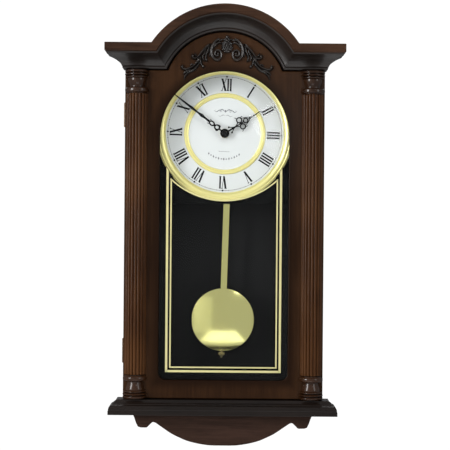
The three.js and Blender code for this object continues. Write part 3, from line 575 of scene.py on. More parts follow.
BLACK_PAINT = paint("black_paint", (0.0045, 0.0048, 0.005), (0.008, 0.0085, 0.009), 0.5, spec=0.04)
BLACK_PLASTIC = plastic("black_plastic", (0.022, 0.022, 0.024))
PALE_PLASTIC = plastic("pale_plastic", (0.70, 0.70, 0.67), 0.38)
WHITE_PLASTIC = plastic("white_plastic", (0.82, 0.82, 0.77), 0.4)
CELL_SLEEVE = plastic("cell_sleeve", (0.045, 0.11, 0.20), 0.22, 300.0, 0.00001)
CONE_PAPER = paint("cone_paper", (0.030, 0.030, 0.031), (0.055, 0.054, 0.053), 0.75, depth=0.0002)


# ---------------------------------------------------------------------------------------------------
# Crown and base mouldings: one profile swept round the front, mitred at the corners.
# Profiles are [projection beyond the door's face, height above the moulding's lower edge].
CROWN_COVE = smooth_line(
    [(5.4, 5.2), (7.2, 8.8), (10.0, 12.4), (13.8, 15.6), (18.4, 18.6), (23.0, 20.8), (27.2, 22.6)], 5
)
CROWN_BEAD = smooth_line([(0.6, 0.0), (2.9, 0.5), (4.3, 1.9), (4.5, 3.4), (3.9, 4.4)], 4)
CROWN_FASCIA = [(27.2, 22.7), (27.4, 24.6), (30.6, 26.3), (30.6, CROWN_HEIGHT), (20.0, CROWN_HEIGHT)]
CROWN_PROFILE = CROWN_BEAD + CROWN_COVE + soften(CROWN_FASCIA, 0.9)[1:-1]
BASE_PROFILE = (
    soften([(16.0, 0.0), (22.0, 0.0), (22.0, 6.4), (21.2, 7.0), (21.4, 8.4)], 0.7)[1:-1]
    + smooth_line([(21.4, 8.4), (20.6, 11.6), (18.8, 14.0), (16.2, 15.4)], 5)
    + [(15.4, 15.5), (15.3, 16.5)]
    + smooth_line([(15.2, 16.6), (13.6, 17.6), (11.6, 19.4), (10.2, 21.4)], 5)
    + soften([(10.1, 21.5), (10.0, BASE_HEIGHT), (5.0, BASE_HEIGHT)], 0.5)[1:-1]
)


ARCH_STEPS = 112


def side_and_front(projection, glued):
    """Half width and front plane of a moulding at this projection; its glued back lies on the face board."""
    if glued:
        return FACE_HALF + 0.3, BOARD_FRONT - 0.3
    return DOOR_HALF + projection, DOOR_FRONT - projection


def crown_stations(projection, height, glued=False):
    """Points along one line of the crown, from the left return to the right one."""
    half, front = side_and_front(projection, glued)
    z = CROWN_BOTTOM + height
    radius = ARCH_IN + height
    spring = math.asin((z - ARCH_Z) / radius)
    turn = [math.pi - spring - (math.pi - 2 * spring) * i / ARCH_STEPS for i in range(ARCH_STEPS + 1)]
    arch = [(radius * math.cos(a), front, ARCH_Z + radius * math.sin(a)) for a in turn]
    run = lambda x0, x1: [(x0 + (x1 - x0) * i / 6, front, z) for i in range(1, 6)]
    left, right = arch[0][0], arch[-1][0]
    return (
        [(-half, RETURN_BACK, z), (-half, front, z)] + run(-half, left) + arch + run(right, half)
        + [(half, front, z), (half, RETURN_BACK, z)]
    )


def base_stations(projection, height, glued=False):
    """Points along one line of the base moulding, from the left return to the right one."""
    half, front = side_and_front(projection, glued)
    z = BASE_BOTTOM + height
    middle = [(-half + 2 * half * i / 24, front, z) for i in range(1, 24)]
    return [(-half, RETURN_BACK, z), (-half, front, z)] + middle + [(half, front, z), (half, RETURN_BACK, z)]


def moulding(name, stations, profile, height, material):
    loop = [stations(0, 0, True)] + [stations(p, h) for p, h in profile] + [stations(0, height, True)]
    shape = skin([list(section) for section in zip(*loop)])
    return mesh_piece(name, shape, material, "case", smooth=28)


crown = moulding("crown", crown_stations, CROWN_PROFILE, CROWN_HEIGHT, MOULDING_WOOD)
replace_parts(crown, "crown_moulding")
base = moulding("base", base_stations, BASE_PROFILE, BASE_HEIGHT, BASE_WOOD)
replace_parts(base, "base_moulding")


def give_faces(obj, material, chosen):
    """Gives the faces for which chosen(centre in mm, normal) is true a second material."""
    obj.data.materials.append(material)
    index = len(obj.data.materials) - 1
    for face in obj.data.polygons:
        if chosen(face.center / MM, face.normal):
            face.material_index = index


def on_fascia(centre, normal):
    """True on the broad flat band along the top of the crown, and on its upper face."""
    outer = centre.y < DOOR_FRONT - 28.5 or abs(centre.x) > DOOR_HALF + 28.5
    reach = math.hypot(centre.x, centre.z - ARCH_Z)
    on_arch = centre.z > CROWN_BOTTOM + CROWN_HEIGHT + 0.5
    above = reach > ARCH_IN + 25 if on_arch else centre.z > CROWN_BOTTOM + 25
    top = normal.z > 0.6 and centre.z > CROWN_BOTTOM + CROWN_HEIGHT - 1.5
    return (outer and above) or top


give_faces(crown, FASCIA_WOOD, on_fascia)

# ---------------------------------------------------------------------------------------------------
# Apron, face board and door.
APRON_END = [(142.0, 4.0), (140.5, 0.0), (137.6, -7.0), (135.4, -13.6), (132.2, -20.2), (128.0, -21.6)]
APRON_STEP = [(128.0, -21.6), (118.0, -21.8), (114.2, -17.6), (108.8, -12.6), (104.4, -14.2)]
APRON_RIGHT = (
    soften(APRON_END, 2.5, 12)[1:]
    + soften(APRON_STEP, 4.5, 12)[1:-1]
    + smooth_line(
        [(104.4, -14.2), (93.0, -22.0), (80.9, -30.1), (68.0, -36.6), (55.5, -41.8), (40.0, -45.8),
         (23.6, -48.4), (12.0, -49.0)], 5)
)
apron_z = BASE_BOTTOM - 0.3
apron_outline = [(x, apron_z + z) for x, z in APRON_RIGHT]
apron_outline = [(-x, z) for x, z in reversed(apron_outline)] + apron_outline
apron_outline = [(x, min(z, apron_z)) for x, z in apron_outline]
apron = plate("apron_board", [apron_outline], -86, -98.5, APRON_WOOD, "case", edge=1.1)
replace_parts(apron, "apron")

shoulder = CROWN_BOTTOM + CROWN_HEIGHT - 1
HOLE_HALF, HOLE_BOTTOM, HOLE_SPRING, HOLE_TOP = 125.0, -513.0, -40.0, 22.0
hole = (
    [(-HOLE_HALF, HOLE_BOTTOM), (HOLE_HALF, HOLE_BOTTOM), (HOLE_HALF, HOLE_SPRING)]
    + [(x, min(z, HOLE_TOP)) for x, z in arc(0, HOLE_SPRING, HOLE_HALF, 2, 178, 60)]
    + [(-HOLE_HALF, HOLE_SPRING)]
)
board = plate("front_board", [arched_board(FACE_HALF, BASE_BOTTOM, shoulder, 136.0), hole], -74, -84,
              BOARD_WOOD, "case", edge=0.5, steps=1)
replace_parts(board, "face_board")

door_outline = arched_board(DOOR_HALF, -513.3, -0.9, 96.6)
window_outline = tombstone(WINDOW_HALF, WINDOW_ARCH_Z, WINDOW_BOTTOM, 12)
rebate_outline = tombstone(WINDOW_HALF + 5, WINDOW_ARCH_Z, WINDOW_BOTTOM - 5, 14)
door_face = plate("door_face", [door_outline, window_outline], -92.0, -99.0, DOOR_WOOD, "door",
                  edge=1.7, steps=5)
door_back = plate("door_back", [door_outline, rebate_outline], -85.6, -92.4, DOOR_WOOD, "door",
                  edge=0.5, steps=1)
door = join_pieces("door_frame", [door_face, door_back])
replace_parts(door, "door_panel")


# ---------------------------------------------------------------------------------------------------
# Half-round columns: a reeded shaft between a turned capital and foot.
REEDS = 9
SHAFT_R = 16.9
REED_DIP = 2.1
TURNING_STEPS = 56
# Turned profile from the end of the column inwards: [radius, distance from the end].
TURNING = (
    [(0.0, 0.0)]
    + soften([(0.0, 0.0), (17.0, 0.0), (17.2, 0.6)], 0.4)[1:]
    + smooth_line([(17.2, 0.7), (18.7, 1.7), (18.7, 3.0), (16.4, 4.0)], 3)
    + [(14.6, 4.3), (14.6, 4.6)]
    + smooth_line([(15.4, 4.9), (18.8, 6.0), (18.8, 7.3), (15.4, 8.5)], 3)
    + [(14.2, 8.8), (14.2, 9.1)]
    + smooth_line([(15.0, 9.4), (17.4, 10.3), (17.2, 11.5), (15.2, 12.5)], 3)
    + smooth_line([(14.7, 13.0), (14.6, 15.5), (13.8, 19.0), (12.6, 22.6), (11.9, 25.4)], 4)
    + [(12.3, 26.3), (15.4, 26.9)]
    + smooth_line([(16.0, 27.1), (18.4, 28.6), (18.8, 31.2), (18.4, 33.6), (16.5, 35.0)], 4)
    + [(16.2, 35.4), (16.6, 36.4), (0.0, 36.4)]
)


def reeded_ring(steps=12):
    """Half outline of the shaft in plan: (across, out) from its axis on the door's face."""
    points = []
    for i in range(REEDS):
        for k in range(steps):
            t = k / steps
            angle = math.radians(180 + (i + t) * 180 / REEDS)
            radius = SHAFT_R - REED_DIP * (1 - math.sin(math.pi * t) ** 0.55)
            points.append((radius * math.cos(angle), radius * math.sin(angle)))
    points.append((SHAFT_R - REED_DIP, 0.0))
    return points


def column(side, sign):
    cx = sign * COLUMN_X
    ring = reeded_ring()
    levels = [-37.9, -38.6] + [-38.6 - 4.2 * i for i in range(1, 104)] + [-474.9, -475.6]
    grow = lambda i: 0.965 if i in (0, len(levels) - 1) else 1.0
    sections = []
    for i, z in enumerate(levels):
        sections.append([(cx + x * grow(i), COLUMN_Y + y * grow(i), z) for x, y in ring])
    shaft = mesh_piece(f"shaft_{side}", skin(sections), COLUMN_WOOD, "door", smooth=50)
    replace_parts(shaft, f"column_shaft_{side}")
    for node, start, step in (("capital", COLUMN_TOP, -1), ("foot", COLUMN_BOTTOM, 1)):
        profile = [(r, start + step * h) for r, h in TURNING]
        points, faces = lathe(profile, about_z(cx, COLUMN_Y), TURNING_STEPS, 180, 180)
        rim = len(profile)
        faces.append(list(range(rim)) + [TURNING_STEPS * rim + i for i in reversed(range(rim))])
        turned = mesh_piece(f"{node}_{side}", (points, faces), TURNED_WOOD, "door", smooth=40,
                            weighted=False)
        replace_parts(turned, f"column_{node}_{side}")


column("left", -1)
column("right", 1)


# ---------------------------------------------------------------------------------------------------
# Carved ornament: a relief on a fine grid of scroll strokes, leaves and beads, mirrored about its centre.
# Strokes are (points of (x, z, half width, height), cross-section) from the ornament's centre line.
CARVING_X = 2.6
CARVING_STEP = 0.42
SCROLL = [
    (10.2, 47.4, 1.2, 4.0), (13.4, 48.0, 1.9, 5.6), (17.4, 45.4, 2.2, 6.6), (21.0, 40.8, 2.4, 7.2),
    (23.6, 34.8, 2.5, 7.6), (24.4, 28.0, 2.6, 7.8), (22.8, 21.2, 2.6, 7.8), (18.6, 16.6, 2.4, 7.6),
    (13.6, 15.8, 2.3, 7.6), (9.6, 19.4, 2.1, 7.4), (8.8, 25.2, 1.9, 7.2), (11.6, 30.0, 1.8, 7.2),
    (16.2, 30.6, 1.7, 7.2), (18.9, 27.0, 1.6, 7.2), (17.8, 22.8, 1.6, 7.2), (14.6, 22.2, 1.6, 7.0),
    (13.6, 25.2, 1.7, 6.8),
]
STROKES = [
    (SCROLL, "groove"),
    ([(9.6, 42.2, 1.2, 4.6), (13.8, 42.4, 1.9, 5.8), (18.2, 38.6, 1.7, 5.6), (20.6, 34.2, 0.8, 4.2)],
     "round"),
    ([(26.6, 41.0, 0.8, 3.4), (29.6, 38.4, 2.1, 6.0), (34.0, 33.8, 2.6, 7.0), (38.6, 28.6, 2.4, 6.8),
      (42.6, 23.2, 2.1, 6.4), (46.8, 18.6, 2.0, 6.2), (51.2, 17.6, 2.1, 6.4), (54.6, 20.4, 1.9, 6.4),
      (54.2, 23.6, 1.4, 5.8), (51.8, 23.4, 1.0, 5.0)], "ridge"),
    ([(27.6, 39.0, 0.6, 2.6), (28.6, 33.6, 1.7, 4.8), (30.4, 27.4, 2.0, 5.2), (32.8, 21.2, 1.8, 5.0),
      (32.2, 15.2, 1.5, 4.6), (31.0, 13.2, 0.7, 3.2)], "ridge"),
    ([(33.2, 30.6, 0.7, 3.8), (35.2, 25.6, 1.5, 5.0), (37.8, 20.4, 1.6, 5.2), (36.6, 15.8, 1.2, 4.4),
      (34.2, 14.0, 0.6, 3.0)], "round"),
    ([(40.6, 21.4, 0.8, 3.6), (41.0, 15.6, 2.0, 5.4), (40.0, 9.8, 2.0, 5.0), (37.6, 5.0, 1.9, 4.8),
      (36.2, 3.4, 0.8, 3.4)], "ridge"),
    ([(41.6, 19.6, 0.9, 3.8), (44.4, 15.4, 2.4, 6.6), (48.0, 10.0, 2.0, 5.8), (52.6, 5.4, 1.9, 5.6),
      (58.0, 2.6, 2.1, 5.8), (64.0, 0.8, 2.2, 6.0), (69.0, 1.8, 2.1, 6.2), (71.6, 5.0, 1.5, 5.6),
      (69.6, 7.4, 1.0, 4.6), (67.8, 6.0, 0.6, 3.4)], "ridge"),
    ([(42.2, 12.6, 0.8, 3.0), (46.0, 6.0, 1.9, 4.8), (51.8, 0.4, 2.2, 5.2), (58.6, -3.2, 2.0, 4.8),
      (63.4, -7.6, 1.7, 4.4), (65.8, -12.0, 1.2, 3.8), (66.6, -14.6, 0.5, 2.6)], "ridge"),
    ([(55.4, 0.2, 0.6, 2.8), (60.8, -1.6, 1.6, 4.6), (65.8, -4.2, 1.5, 4.4), (67.8, -7.4, 0.6, 3.0)],
     "round"),
    ([(46.2, 20.8, 0.5, 3.0), (49.6, 23.2, 1.3, 4.4), (50.6, 26.6, 0.6, 3.0)], "round"),
    ([(50.8, 8.4, 0.5, 2.6), (54.4, 8.8, 1.3, 3.8), (57.2, 6.4, 0.6, 3.0)], "round"),
    ([(24.8, 40.8, 0.7, 3.0), (25.8, 34.0, 1.4, 4.2), (26.9, 26.0, 1.2, 3.8), (27.2, 20.4, 0.5, 2.4)],
     "round"),
    ([(3.6, 46.2, 0.7, 4.0), (7.2, 47.6, 1.3, 4.6), (10.0, 45.2, 0.8, 4.0)], "round"),
]
BEADS = [  # x, z, radius, height
    (0.0, 51.4, 3.0, 6.8), (2.9, 48.2, 2.0, 5.6), (0.0, 46.0, 2.2, 5.8), (11.2, 46.6, 1.9, 5.8),
    (14.0, 25.4, 2.0, 7.8), (53.0, 21.6, 2.2, 6.8), (44.0, 15.8, 2.5, 7.0), (37.2, 5.6, 2.3, 5.6),
    (69.4, 4.6, 2.0, 6.4), (32.0, 15.4, 1.8, 5.2), (3.2, 29.0, 2.2, 5.4), (6.4, 31.6, 1.8, 5.0),
    (0.0, 28.2, 1.6, 5.0),
]


def carved_height(x, z):
    """Height of the relief, in mm, over arrays of x (from the centre line, taken as mirrored) and z."""
    x = np.abs(x)
    height = np.full(x.shape, -1.0)
    for points, section in STROKES:
        line = np.array(smooth_line(points, 7))
        best = np.full(x.shape, 1e9)
        width, top, side = np.ones_like(x), np.zeros_like(x), np.zeros_like(x)
        for a, b in zip(line[:-1], line[1:]):
            dx, dz = b[0] - a[0], b[1] - a[1]
            size = dx * dx + dz * dz + 1e-9
            t = np.clip(((x - a[0]) * dx + (z - a[1]) * dz) / size, 0, 1)
            ox, oz = x - a[0] - t * dx, z - a[1] - t * dz
            away = np.hypot(ox, oz)
            nearer = away < best
            best = np.where(nearer, away, best)
            width = np.where(nearer, a[2] + t * (b[2] - a[2]), width)
            top = np.where(nearer, a[3] + t * (b[3] - a[3]), top)
            side = np.where(nearer, np.sign(dx * oz - dz * ox), side)
        across = best / width
        dome = np.sqrt(np.clip(1 - across ** 2, 0, 1))
        if section == "groove":
            shape = dome * (1 - 0.34 * np.exp(-(across / 0.32) ** 2))
        elif section == "ridge":
            offset = across * side
            slope = np.where(offset > 0.35, 1 - (offset - 0.35) * 1.1, 1 - (0.35 - offset) * 0.52)
            shape = slope * dome ** 0.45 * (1 - 0.18 * np.exp(-((offset + 0.35) / 0.16) ** 2))
        else:
            shape = dome
        relief = np.where(across < 1, top * (0.30 + 0.70 * shape) * dome ** 0.25, -1.0)
        height = np.maximum(height, relief)
    for bx, bz, radius, top in BEADS:
        away = np.hypot(x - bx, z - bz) / radius
        bead = np.where(away < 1, top * (0.45 + 0.55 * np.sqrt(np.clip(1 - away ** 2, 0, 1))), -1.0)
        height = np.maximum(height, bead)
    # the low stippled shield between the scrolls
    edge = 9.4 - 0.055 * (z - 37.5) ** 2 + 0.8 * np.cos(z * 0.9)
    shield = 1.0
    for inside in (edge - x, z - 27.6, 48.4 - z):
        shield = shield * np.clip(inside / 1.6, 0, 1)
    stipple = 0.9 * np.cos(1.55 * x + 0.62 * z) * np.cos(1.45 * z - 0.5 * x)
    stipple = stipple + 0.4 * np.cos(3.1 * x) * np.cos(2.9 * z)
    petal = np.hypot(x, z - 38.0)
    flower = 1.5 * np.exp(-(petal / 5.2) ** 2) * (0.6 + 0.4 * np.cos(5 * np.arctan2(z - 38.0, x + 1e-6)))
    height = np.where(shield > 0.02, np.maximum(height, (3.2 + stipple + flower) * shield ** 0.4), height)
    return height


def carving_piece():
    step = CARVING_STEP
    xs = np.arange(-74.0, 74.0 + step, step)
    zs = np.arange(-17.0, 56.0 + step, step)
    grid_x, grid_z = np.meshgrid(xs, zs, indexing="ij")
    height = carved_height(grid_x, grid_z)
    chatter = 0.07 * np.sin(grid_x * 2.3 + grid_z * 1.1) * np.sin(grid_z * 1.9 - grid_x * 0.7)
    height = np.where(height > 0, height + chatter, height)
    solid = height > 0
    keep = solid[:-1, :-1] | solid[1:, :-1] | solid[:-1, 1:] | solid[1:, 1:]
    number = -np.ones(height.shape, int)
    points, faces = [], []

    def corner(i, j):
        if number[i, j] < 0:
            number[i, j] = len(points)
            rise = height[i, j] if solid[i, j] else -0.6
            points.append((CARVING_X + xs[i], DOOR_FRONT + 0.1 - rise, zs[j]))
        return int(number[i, j])

    for i, j in zip(*np.nonzero(keep)):
        faces.append([corner(i, j), corner(i + 1, j), corner(i + 1, j + 1), corner(i, j + 1)])
    piece = mesh_piece("carved_ornament", (points, faces), CARVED, "door", smooth=180,
                       weighted=False)
    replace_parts(piece, "carving")


carving_piece()


# ---------------------------------------------------------------------------------------------------
# Dial: enamel plate, gilt rings and the print. Printed work is flat, just proud of the enamel.
PRINT_Y = -60.06
PRINT_TWIST = 1.8
TRACK_R = 90.4
MOTTO_R = 40.4


def dial_point(angle, out, across=0.0):
    """A point on the dial: angle clockwise from twelve, out from the centre and across to the right."""
    sine, cosine = math.sin(math.radians(angle)), math.cos(math.radians(angle))
    return (out * sine + across * cosine, PRINT_Y, DIAL_Z + out * cosine - across * sine)


def stroke(a, b, thick):
    """A straight stroke from (across, up) a to b, its ends cut level."""
    half = thick / 2 * math.hypot(b[0] - a[0], b[1] - a[1]) / abs(b[1] - a[1])
    return [(a[0] - half, a[1]), (a[0] + half, a[1]), (b[0] + half, b[1]), (b[0] - half, b[1])]


def serif(x, z, half, inward, stem):
    """A hairline serif with small brackets, at height z; inward is +1 below and -1 above the stroke."""
    return [(x - half, z), (x + half, z), (x + half, z + 0.42 * inward), (x + stem / 2, z + 1.3 * inward),
            (x - stem / 2, z + 1.3 * inward), (x - half, z + 0.42 * inward)]


NUMERAL_LOW, NUMERAL_HIGH = 67.6, 87.4
THICK, THIN, UPRIGHT = 2.95, 0.85, 2.5


def glyph(letter):
    """(width, polygons) of a Roman letter between the numeral lines."""
    lo, hi = NUMERAL_LOW, NUMERAL_HIGH
    if letter == "I":
        return 4.25, [
            stroke((0, lo), (0, hi), UPRIGHT), serif(0, lo, 1.9, 1, UPRIGHT), serif(0, hi, 1.9, -1, UPRIGHT),
        ]
    if letter == "V":
        return 8.6, [
            stroke((0.7, lo), (-2.7, hi), THICK), stroke((0.9, lo), (3.1, hi), THIN),
            serif(-2.7, hi, 1.9, -1, THICK), serif(3.1, hi, 1.5, -1, THIN),
        ]
    return 9.0, [
        stroke((2.9, lo), (-2.9, hi), THICK + 0.1), stroke((-3.1, lo), (3.1, hi), THIN),
        serif(2.9, lo, 1.9, 1, THICK), serif(-2.9, hi, 1.9, -1, THICK),
        serif(-3.1, lo, 1.5, 1, THIN), serif(3.1, hi, 1.5, -1, THIN),
    ]


def numeral(text, angle):
    glyphs = [glyph(letter) for letter in text]
    total = sum(width for width, _ in glyphs)
    cursor = -total / 2
    parts = []
    for width, polygons in glyphs:
        middle = cursor + width / 2
        for polygon in polygons:
            points = [dial_point(angle, up, across + middle) for across, up in polygon]
            parts.append((points, [list(range(len(points)))]))
        cursor += width
    return parts


def both_edges(line):
    """For each (across, up, width) of a line, the points half a width to its left and to its right."""
    edges = []
    for i, (u, v, w) in enumerate(line):
        a, b = line[max(i - 1, 0)], line[min(i + 1, len(line) - 1)]
        dx, dz = b[0] - a[0], b[1] - a[1]
        size = math.hypot(dx, dz) or 1.0
        shift_x, shift_z = dz / size * w / 2, dx / size * w / 2
        edges.append(((u - shift_x, v + shift_z), (u + shift_x, v - shift_z)))
    return edges


def oval(across, up, wide, high, sides=40):
    turns = [2 * math.pi * i / sides for i in range(sides)]
    return [(across + wide * math.cos(a), up + high * math.sin(a)) for a in turns]


def disc(across, up, radius, sides=40):
    return oval(across, up, radius, radius, sides)


def ribbon(line):
    """A line of (across, up, width) as one flat printed strip."""
    points = [dial_point(PRINT_TWIST, v, u) for pair in both_edges(line) for u, v in pair]
    return points, ladder(len(line) - 1)


def lozenge(across, up, wide, high):
    """A small pointed ornament, wide and high to each side of its middle."""
    corners = ((across, up - high), (across + wide, up), (across, up + high), (across - wide, up))
    return [dial_point(PRINT_TWIST, v, u) for u, v in corners], [[0, 1, 2, 3]]


def spot(angle, out, radius, sides=14):
    cx, _, cz = dial_point(angle, out)
    return [(x, PRINT_Y, z) for x, z in disc(cx, cz, radius, sides)], [list(range(sides))]


def track_part(angle):
    """The minute track's line from one dot to the next."""
    points = []
    for i in range(5):
        for radius in (TRACK_R - 0.35, TRACK_R + 0.35):
            points.append(dial_point(angle + 0.9 + 4.2 * i / 4, radius))
    return points, ladder(4)


def face_forward(piece):
    """Turns every face of a flat print to face the viewer, -Y."""
    work = bmesh.new()
    work.from_mesh(piece.data)
    for face in work.faces:
        face.normal_update()
        if face.normal.y > 0:
            face.normal_flip()
    work.to_mesh(piece.data)
    work.free()


def printed_piece(name, parts, ink):
    piece = mesh_piece(name, join_parts(parts), ink, None, weighted=False)
    face_forward(piece)
    return piece


def ornaments():
    """Letterless: two mirrored pairs of scrolls above the centre, and a line and an arc of lozenges below."""
    upper = smooth_line(
        [(0.0, 33.6, 0.3), (2.4, 36.4, 0.8), (5.6, 38.2, 1.0), (8.6, 36.6, 0.7), (7.8, 34.2, 0.45),
         (5.8, 35.2, 0.3), (7.6, 37.6, 0.4), (11.4, 36.2, 0.9), (14.4, 34.2, 0.7), (17.2, 35.8, 0.35),
         (15.8, 37.4, 0.25)], 8)
    lower = smooth_line(
        [(1.0, 28.4, 0.25), (3.6, 29.6, 0.6), (6.2, 28.2, 0.5), (8.6, 27.2, 0.45), (11.0, 28.6, 0.2)], 8)
    parts = []
    for sign in (1, -1):
        for line, swell in ((upper, 1.35), (lower, 1.25)):
            parts.append(ribbon([(sign * u, v, w * swell) for u, v, w in line]))
        for i in range(6):
            a = math.radians(5.6 + 6.2 * i)
            high = 2.3 if i % 2 else 1.5
            parts.append(lozenge(sign * MOTTO_R * math.sin(a), -MOTTO_R * math.cos(a), 1.15, high))
        for i in range(3):
            parts.append(lozenge(sign * (1.6 + 3.0 * i), -28.4, 0.95, 0.8))
    return parts + [lozenge(0, 36.2, 1.1, 2.0), lozenge(0, -MOTTO_R, 1.5, 2.3)]


def dial_print():
    black, grey = [], []
    for i, text in enumerate("XII I II III IIII V VI VII VIII IX X XI".split()):
        black += numeral(text, 30 * i + PRINT_TWIST)
        black.append(spot(30 * i + PRINT_TWIST, TRACK_R, 1.5))
    for minute in range(60):
        angle = 6 * minute + PRINT_TWIST
        if minute % 5:
            black.append(spot(angle, TRACK_R, 0.8, 10))
        grey.append(track_part(angle))
    grey += ornaments()
    for name, parts, ink in (("numerals", black, DIAL_INK), ("minute_track", grey, GREY_INK)):
        piece = printed_piece(name, parts, ink)
        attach(piece, "case")


dial_print()

BEZEL = soften([
    (94.0, -60.3), (93.6, -61.8), (94.3, -64.2), (95.6, -66.0), (97.4, -67.4), (99.6, -68.3), (101.6, -68.5),
    (103.0, -68.1), (103.5, -67.6), (104.1, -68.0), (105.3, -68.2), (106.1, -67.7), (106.5, -67.3),
    (107.0, -67.5), (107.7, -67.1), (107.9, -66.2), (107.9, -60.4),
], 0.5, 24)
bezel = mesh_piece("bezel", lathe(BEZEL, about_y(0, DIAL_Z), 180), GILT, "case", smooth=60,
                   weighted=False)
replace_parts(bezel, "dial_bezel")
RING = soften([
    (57.4, -60.3), (57.5, -61.4), (58.3, -61.9), (59.0, -61.5), (59.6, -61.5), (60.4, -62.2), (62.0, -62.4),
    (63.6, -62.1), (64.5, -61.2), (64.7, -60.3),
], 0.3, 18)
ring = mesh_piece("inner_ring", lathe(RING, about_y(0, DIAL_Z), 144), GILT, "case", smooth=60,
                  weighted=False)
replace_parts(ring, "dial_ring")


# ---------------------------------------------------------------------------------------------------
# Serpentine hands. Shapes are drawn as (across, along) from the arbor and turned to the hand's angle.
def turned(outline, angle):
    return [(x, z) for x, _, z in (dial_point(angle, along, across) for across, along in outline)]


def tapered(line):
    """Closed outline round a line of (across, along, width)."""
    left, right = zip(*both_edges(smooth_line(line, 6)))
    return list(left + right[::-1])


def pair(draw, *values):
    """A shape at the left of the hand and its mirror at the right; values lead with the distance across."""
    return [[draw(-values[0], *values[1:])], [draw(*values)]]


def leaves(line):
    """A tapered shape at the left of the hand and its mirror at the right."""
    return [[tapered([(sign * u, v, w) for u, v, w in line])] for sign in (-1, 1)]


def hand(name, node, angle, y_back, y_front, shapes, body):
    """shapes is a list of lists of outlines; in each list, later outlines are holes in the first."""
    pieces = [
        plate(f"{name}_{i}", [turned(o, angle) for o in outlines], y_back, y_front, HAND_PAINT, body,
              edge=0.16, steps=2)
        for i, outlines in enumerate(shapes)
    ]
    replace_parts(join_pieces(name, pieces), node)


MINUTE_SHAPES = [
    [disc(0, 0, 7.2, 56), disc(0, 0, 2.2, 24)],
    [tapered([(0, 5.5, 3.0), (0, 8.0, 2.2), (0, 10.4, 2.4), (0, 11.6, 3.2)])],
    [oval(0, 15.2, 4.9, 5.0), oval(0, 15.4, 2.3, 2.7)],
    *leaves([(3.4, 11.0, 0.6), (4.6, 13.0, 1.6), (5.2, 15.2, 0.6)]),
    [tapered([(0, 18.6, 2.6), (0, 20.2, 4.2), (0, 21.6, 2.8)])],
    [oval(0, 25.6, 4.1, 5.3), oval(0, 25.8, 1.8, 3.0)],
    *leaves([(2.6, 29.0, 0.5), (3.7, 30.6, 1.3), (3.2, 32.0, 0.5)]),
    [tapered([(0, 30.0, 3.8), (0, 33.0, 3.4), (0, 38.0, 3.1), (0, 42.0, 3.7), (0, 46.0, 5.4), (0, 49.5, 4.1),
              (0, 53.0, 3.0), (0, 59.0, 3.2), (0, 65.5, 4.4), (0, 72.0, 3.4), (0, 81.0, 2.9), (0, 91.0, 2.2),
              (0, 100.0, 1.3)])],
]
HOUR_SHAPES = [
    [disc(0, 0, 6.6, 56), disc(0, 0, 4.8, 24)],
    [tapered([(0, 5.4, 3.0), (0, 9.0, 2.4), (0, 13.0, 2.6), (0, 16.4, 3.6), (0, 19.0, 2.6), (0, 22.0, 2.0)])],
    *leaves([(0, 17.5, 2.0), (2.2, 14.8, 1.3), (4.0, 12.0, 1.2), (4.9, 10.4, 1.4)]),
    *pair(disc, 4.9, 10.6, 1.5),
    *leaves([(0, 20.0, 2.2), (1.6, 23.6, 1.5), (4.0, 26.6, 1.4)]),
    [disc(-5.7, 30.4, 5.0), disc(-5.7, 30.4, 3.1)],
    [disc(5.7, 30.4, 5.0), disc(5.7, 30.4, 3.1)],
    [tapered([(0, 21.0, 2.0), (0, 27.0, 1.6), (0, 32.0, 2.2), (0, 35.4, 1.4)])],
    [disc(0, 39.0, 4.5), disc(0, 39.0, 2.6)],
    *leaves([(9.6, 28.4, 0.4), (11.4, 27.2, 1.2), (12.6, 25.4, 0.4)]),
    *leaves([(8.0, 34.0, 0.8), (8.8, 36.2, 1.3), (7.8, 38.0, 0.4)]),
    *leaves([(6.4, 34.8, 1.0), (4.6, 40.6, 0.9), (1.0, 47.4, 1.2), (0, 50.0, 1.6)]),
    [tapered([(0, 42.6, 1.4), (0, 47.0, 1.7), (0, 52.0, 2.0), (0, 60.0, 1.6), (0, 66.4, 1.1),
              (0, 67.0, 0.6)])],
]
hand("minute_pointer", "minute_hand", 307.4, -69.4, -70.4, MINUTE_SHAPES, "minute_train")
hand("hour_pointer", "hour_hand", 57.8, -65.4, -66.4, HOUR_SHAPES, "hour_train")
CAP = soften([
    (0.0, -75.2), (1.1, -75.1), (2.3, -74.5), (2.8, -73.6), (2.6, -73.0), (3.3, -72.8), (4.0, -72.3),
    (4.1, -71.4), (4.0, -70.6), (2.0, -70.6),
], 0.25, 20)
cap = mesh_piece("cap_nut", lathe(CAP, about_y(0, DIAL_Z), 48), HAND_PAINT, "minute_train",
                 smooth=50, weighted=False)
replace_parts(cap, "hand_nut")

# ---------------------------------------------------------------------------------------------------
# Pane of glass with gold outlines and black bands printed on its back.
pane_outline = tombstone(WINDOW_HALF + 4.6, WINDOW_ARCH_Z, WINDOW_BOTTOM - 4.6, 14, 96)
pane = plate("pane", [pane_outline], -89.6, -91.7, PANE, "door", edge=0.15, steps=1)
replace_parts(pane, "door_glass")
OUTER_LINE, INNER_LINE = 89.0, 83.2
OUTER_FOOT, INNER_FOOT = -471.6, -465.4
ARC_CENTRE, ARC_R = -82.0, 121.7
BEZEL_EDGE, BEZEL_EDGE_Z = 105.6, -98.1


def clear_of_bezel(x):
    """Height of the bezel's lower edge as seen through the pane, at this distance from the centre line."""
    return BEZEL_EDGE_Z - math.sqrt(BEZEL_EDGE ** 2 - x * x)


def strip_part(half, z0, z1, y):
    """A printed strip across the pane, half to each side."""
    return [(-half, y, z0), (half, y, z0), (half, y, z1), (-half, y, z1)], [[0, 1, 2, 3]]


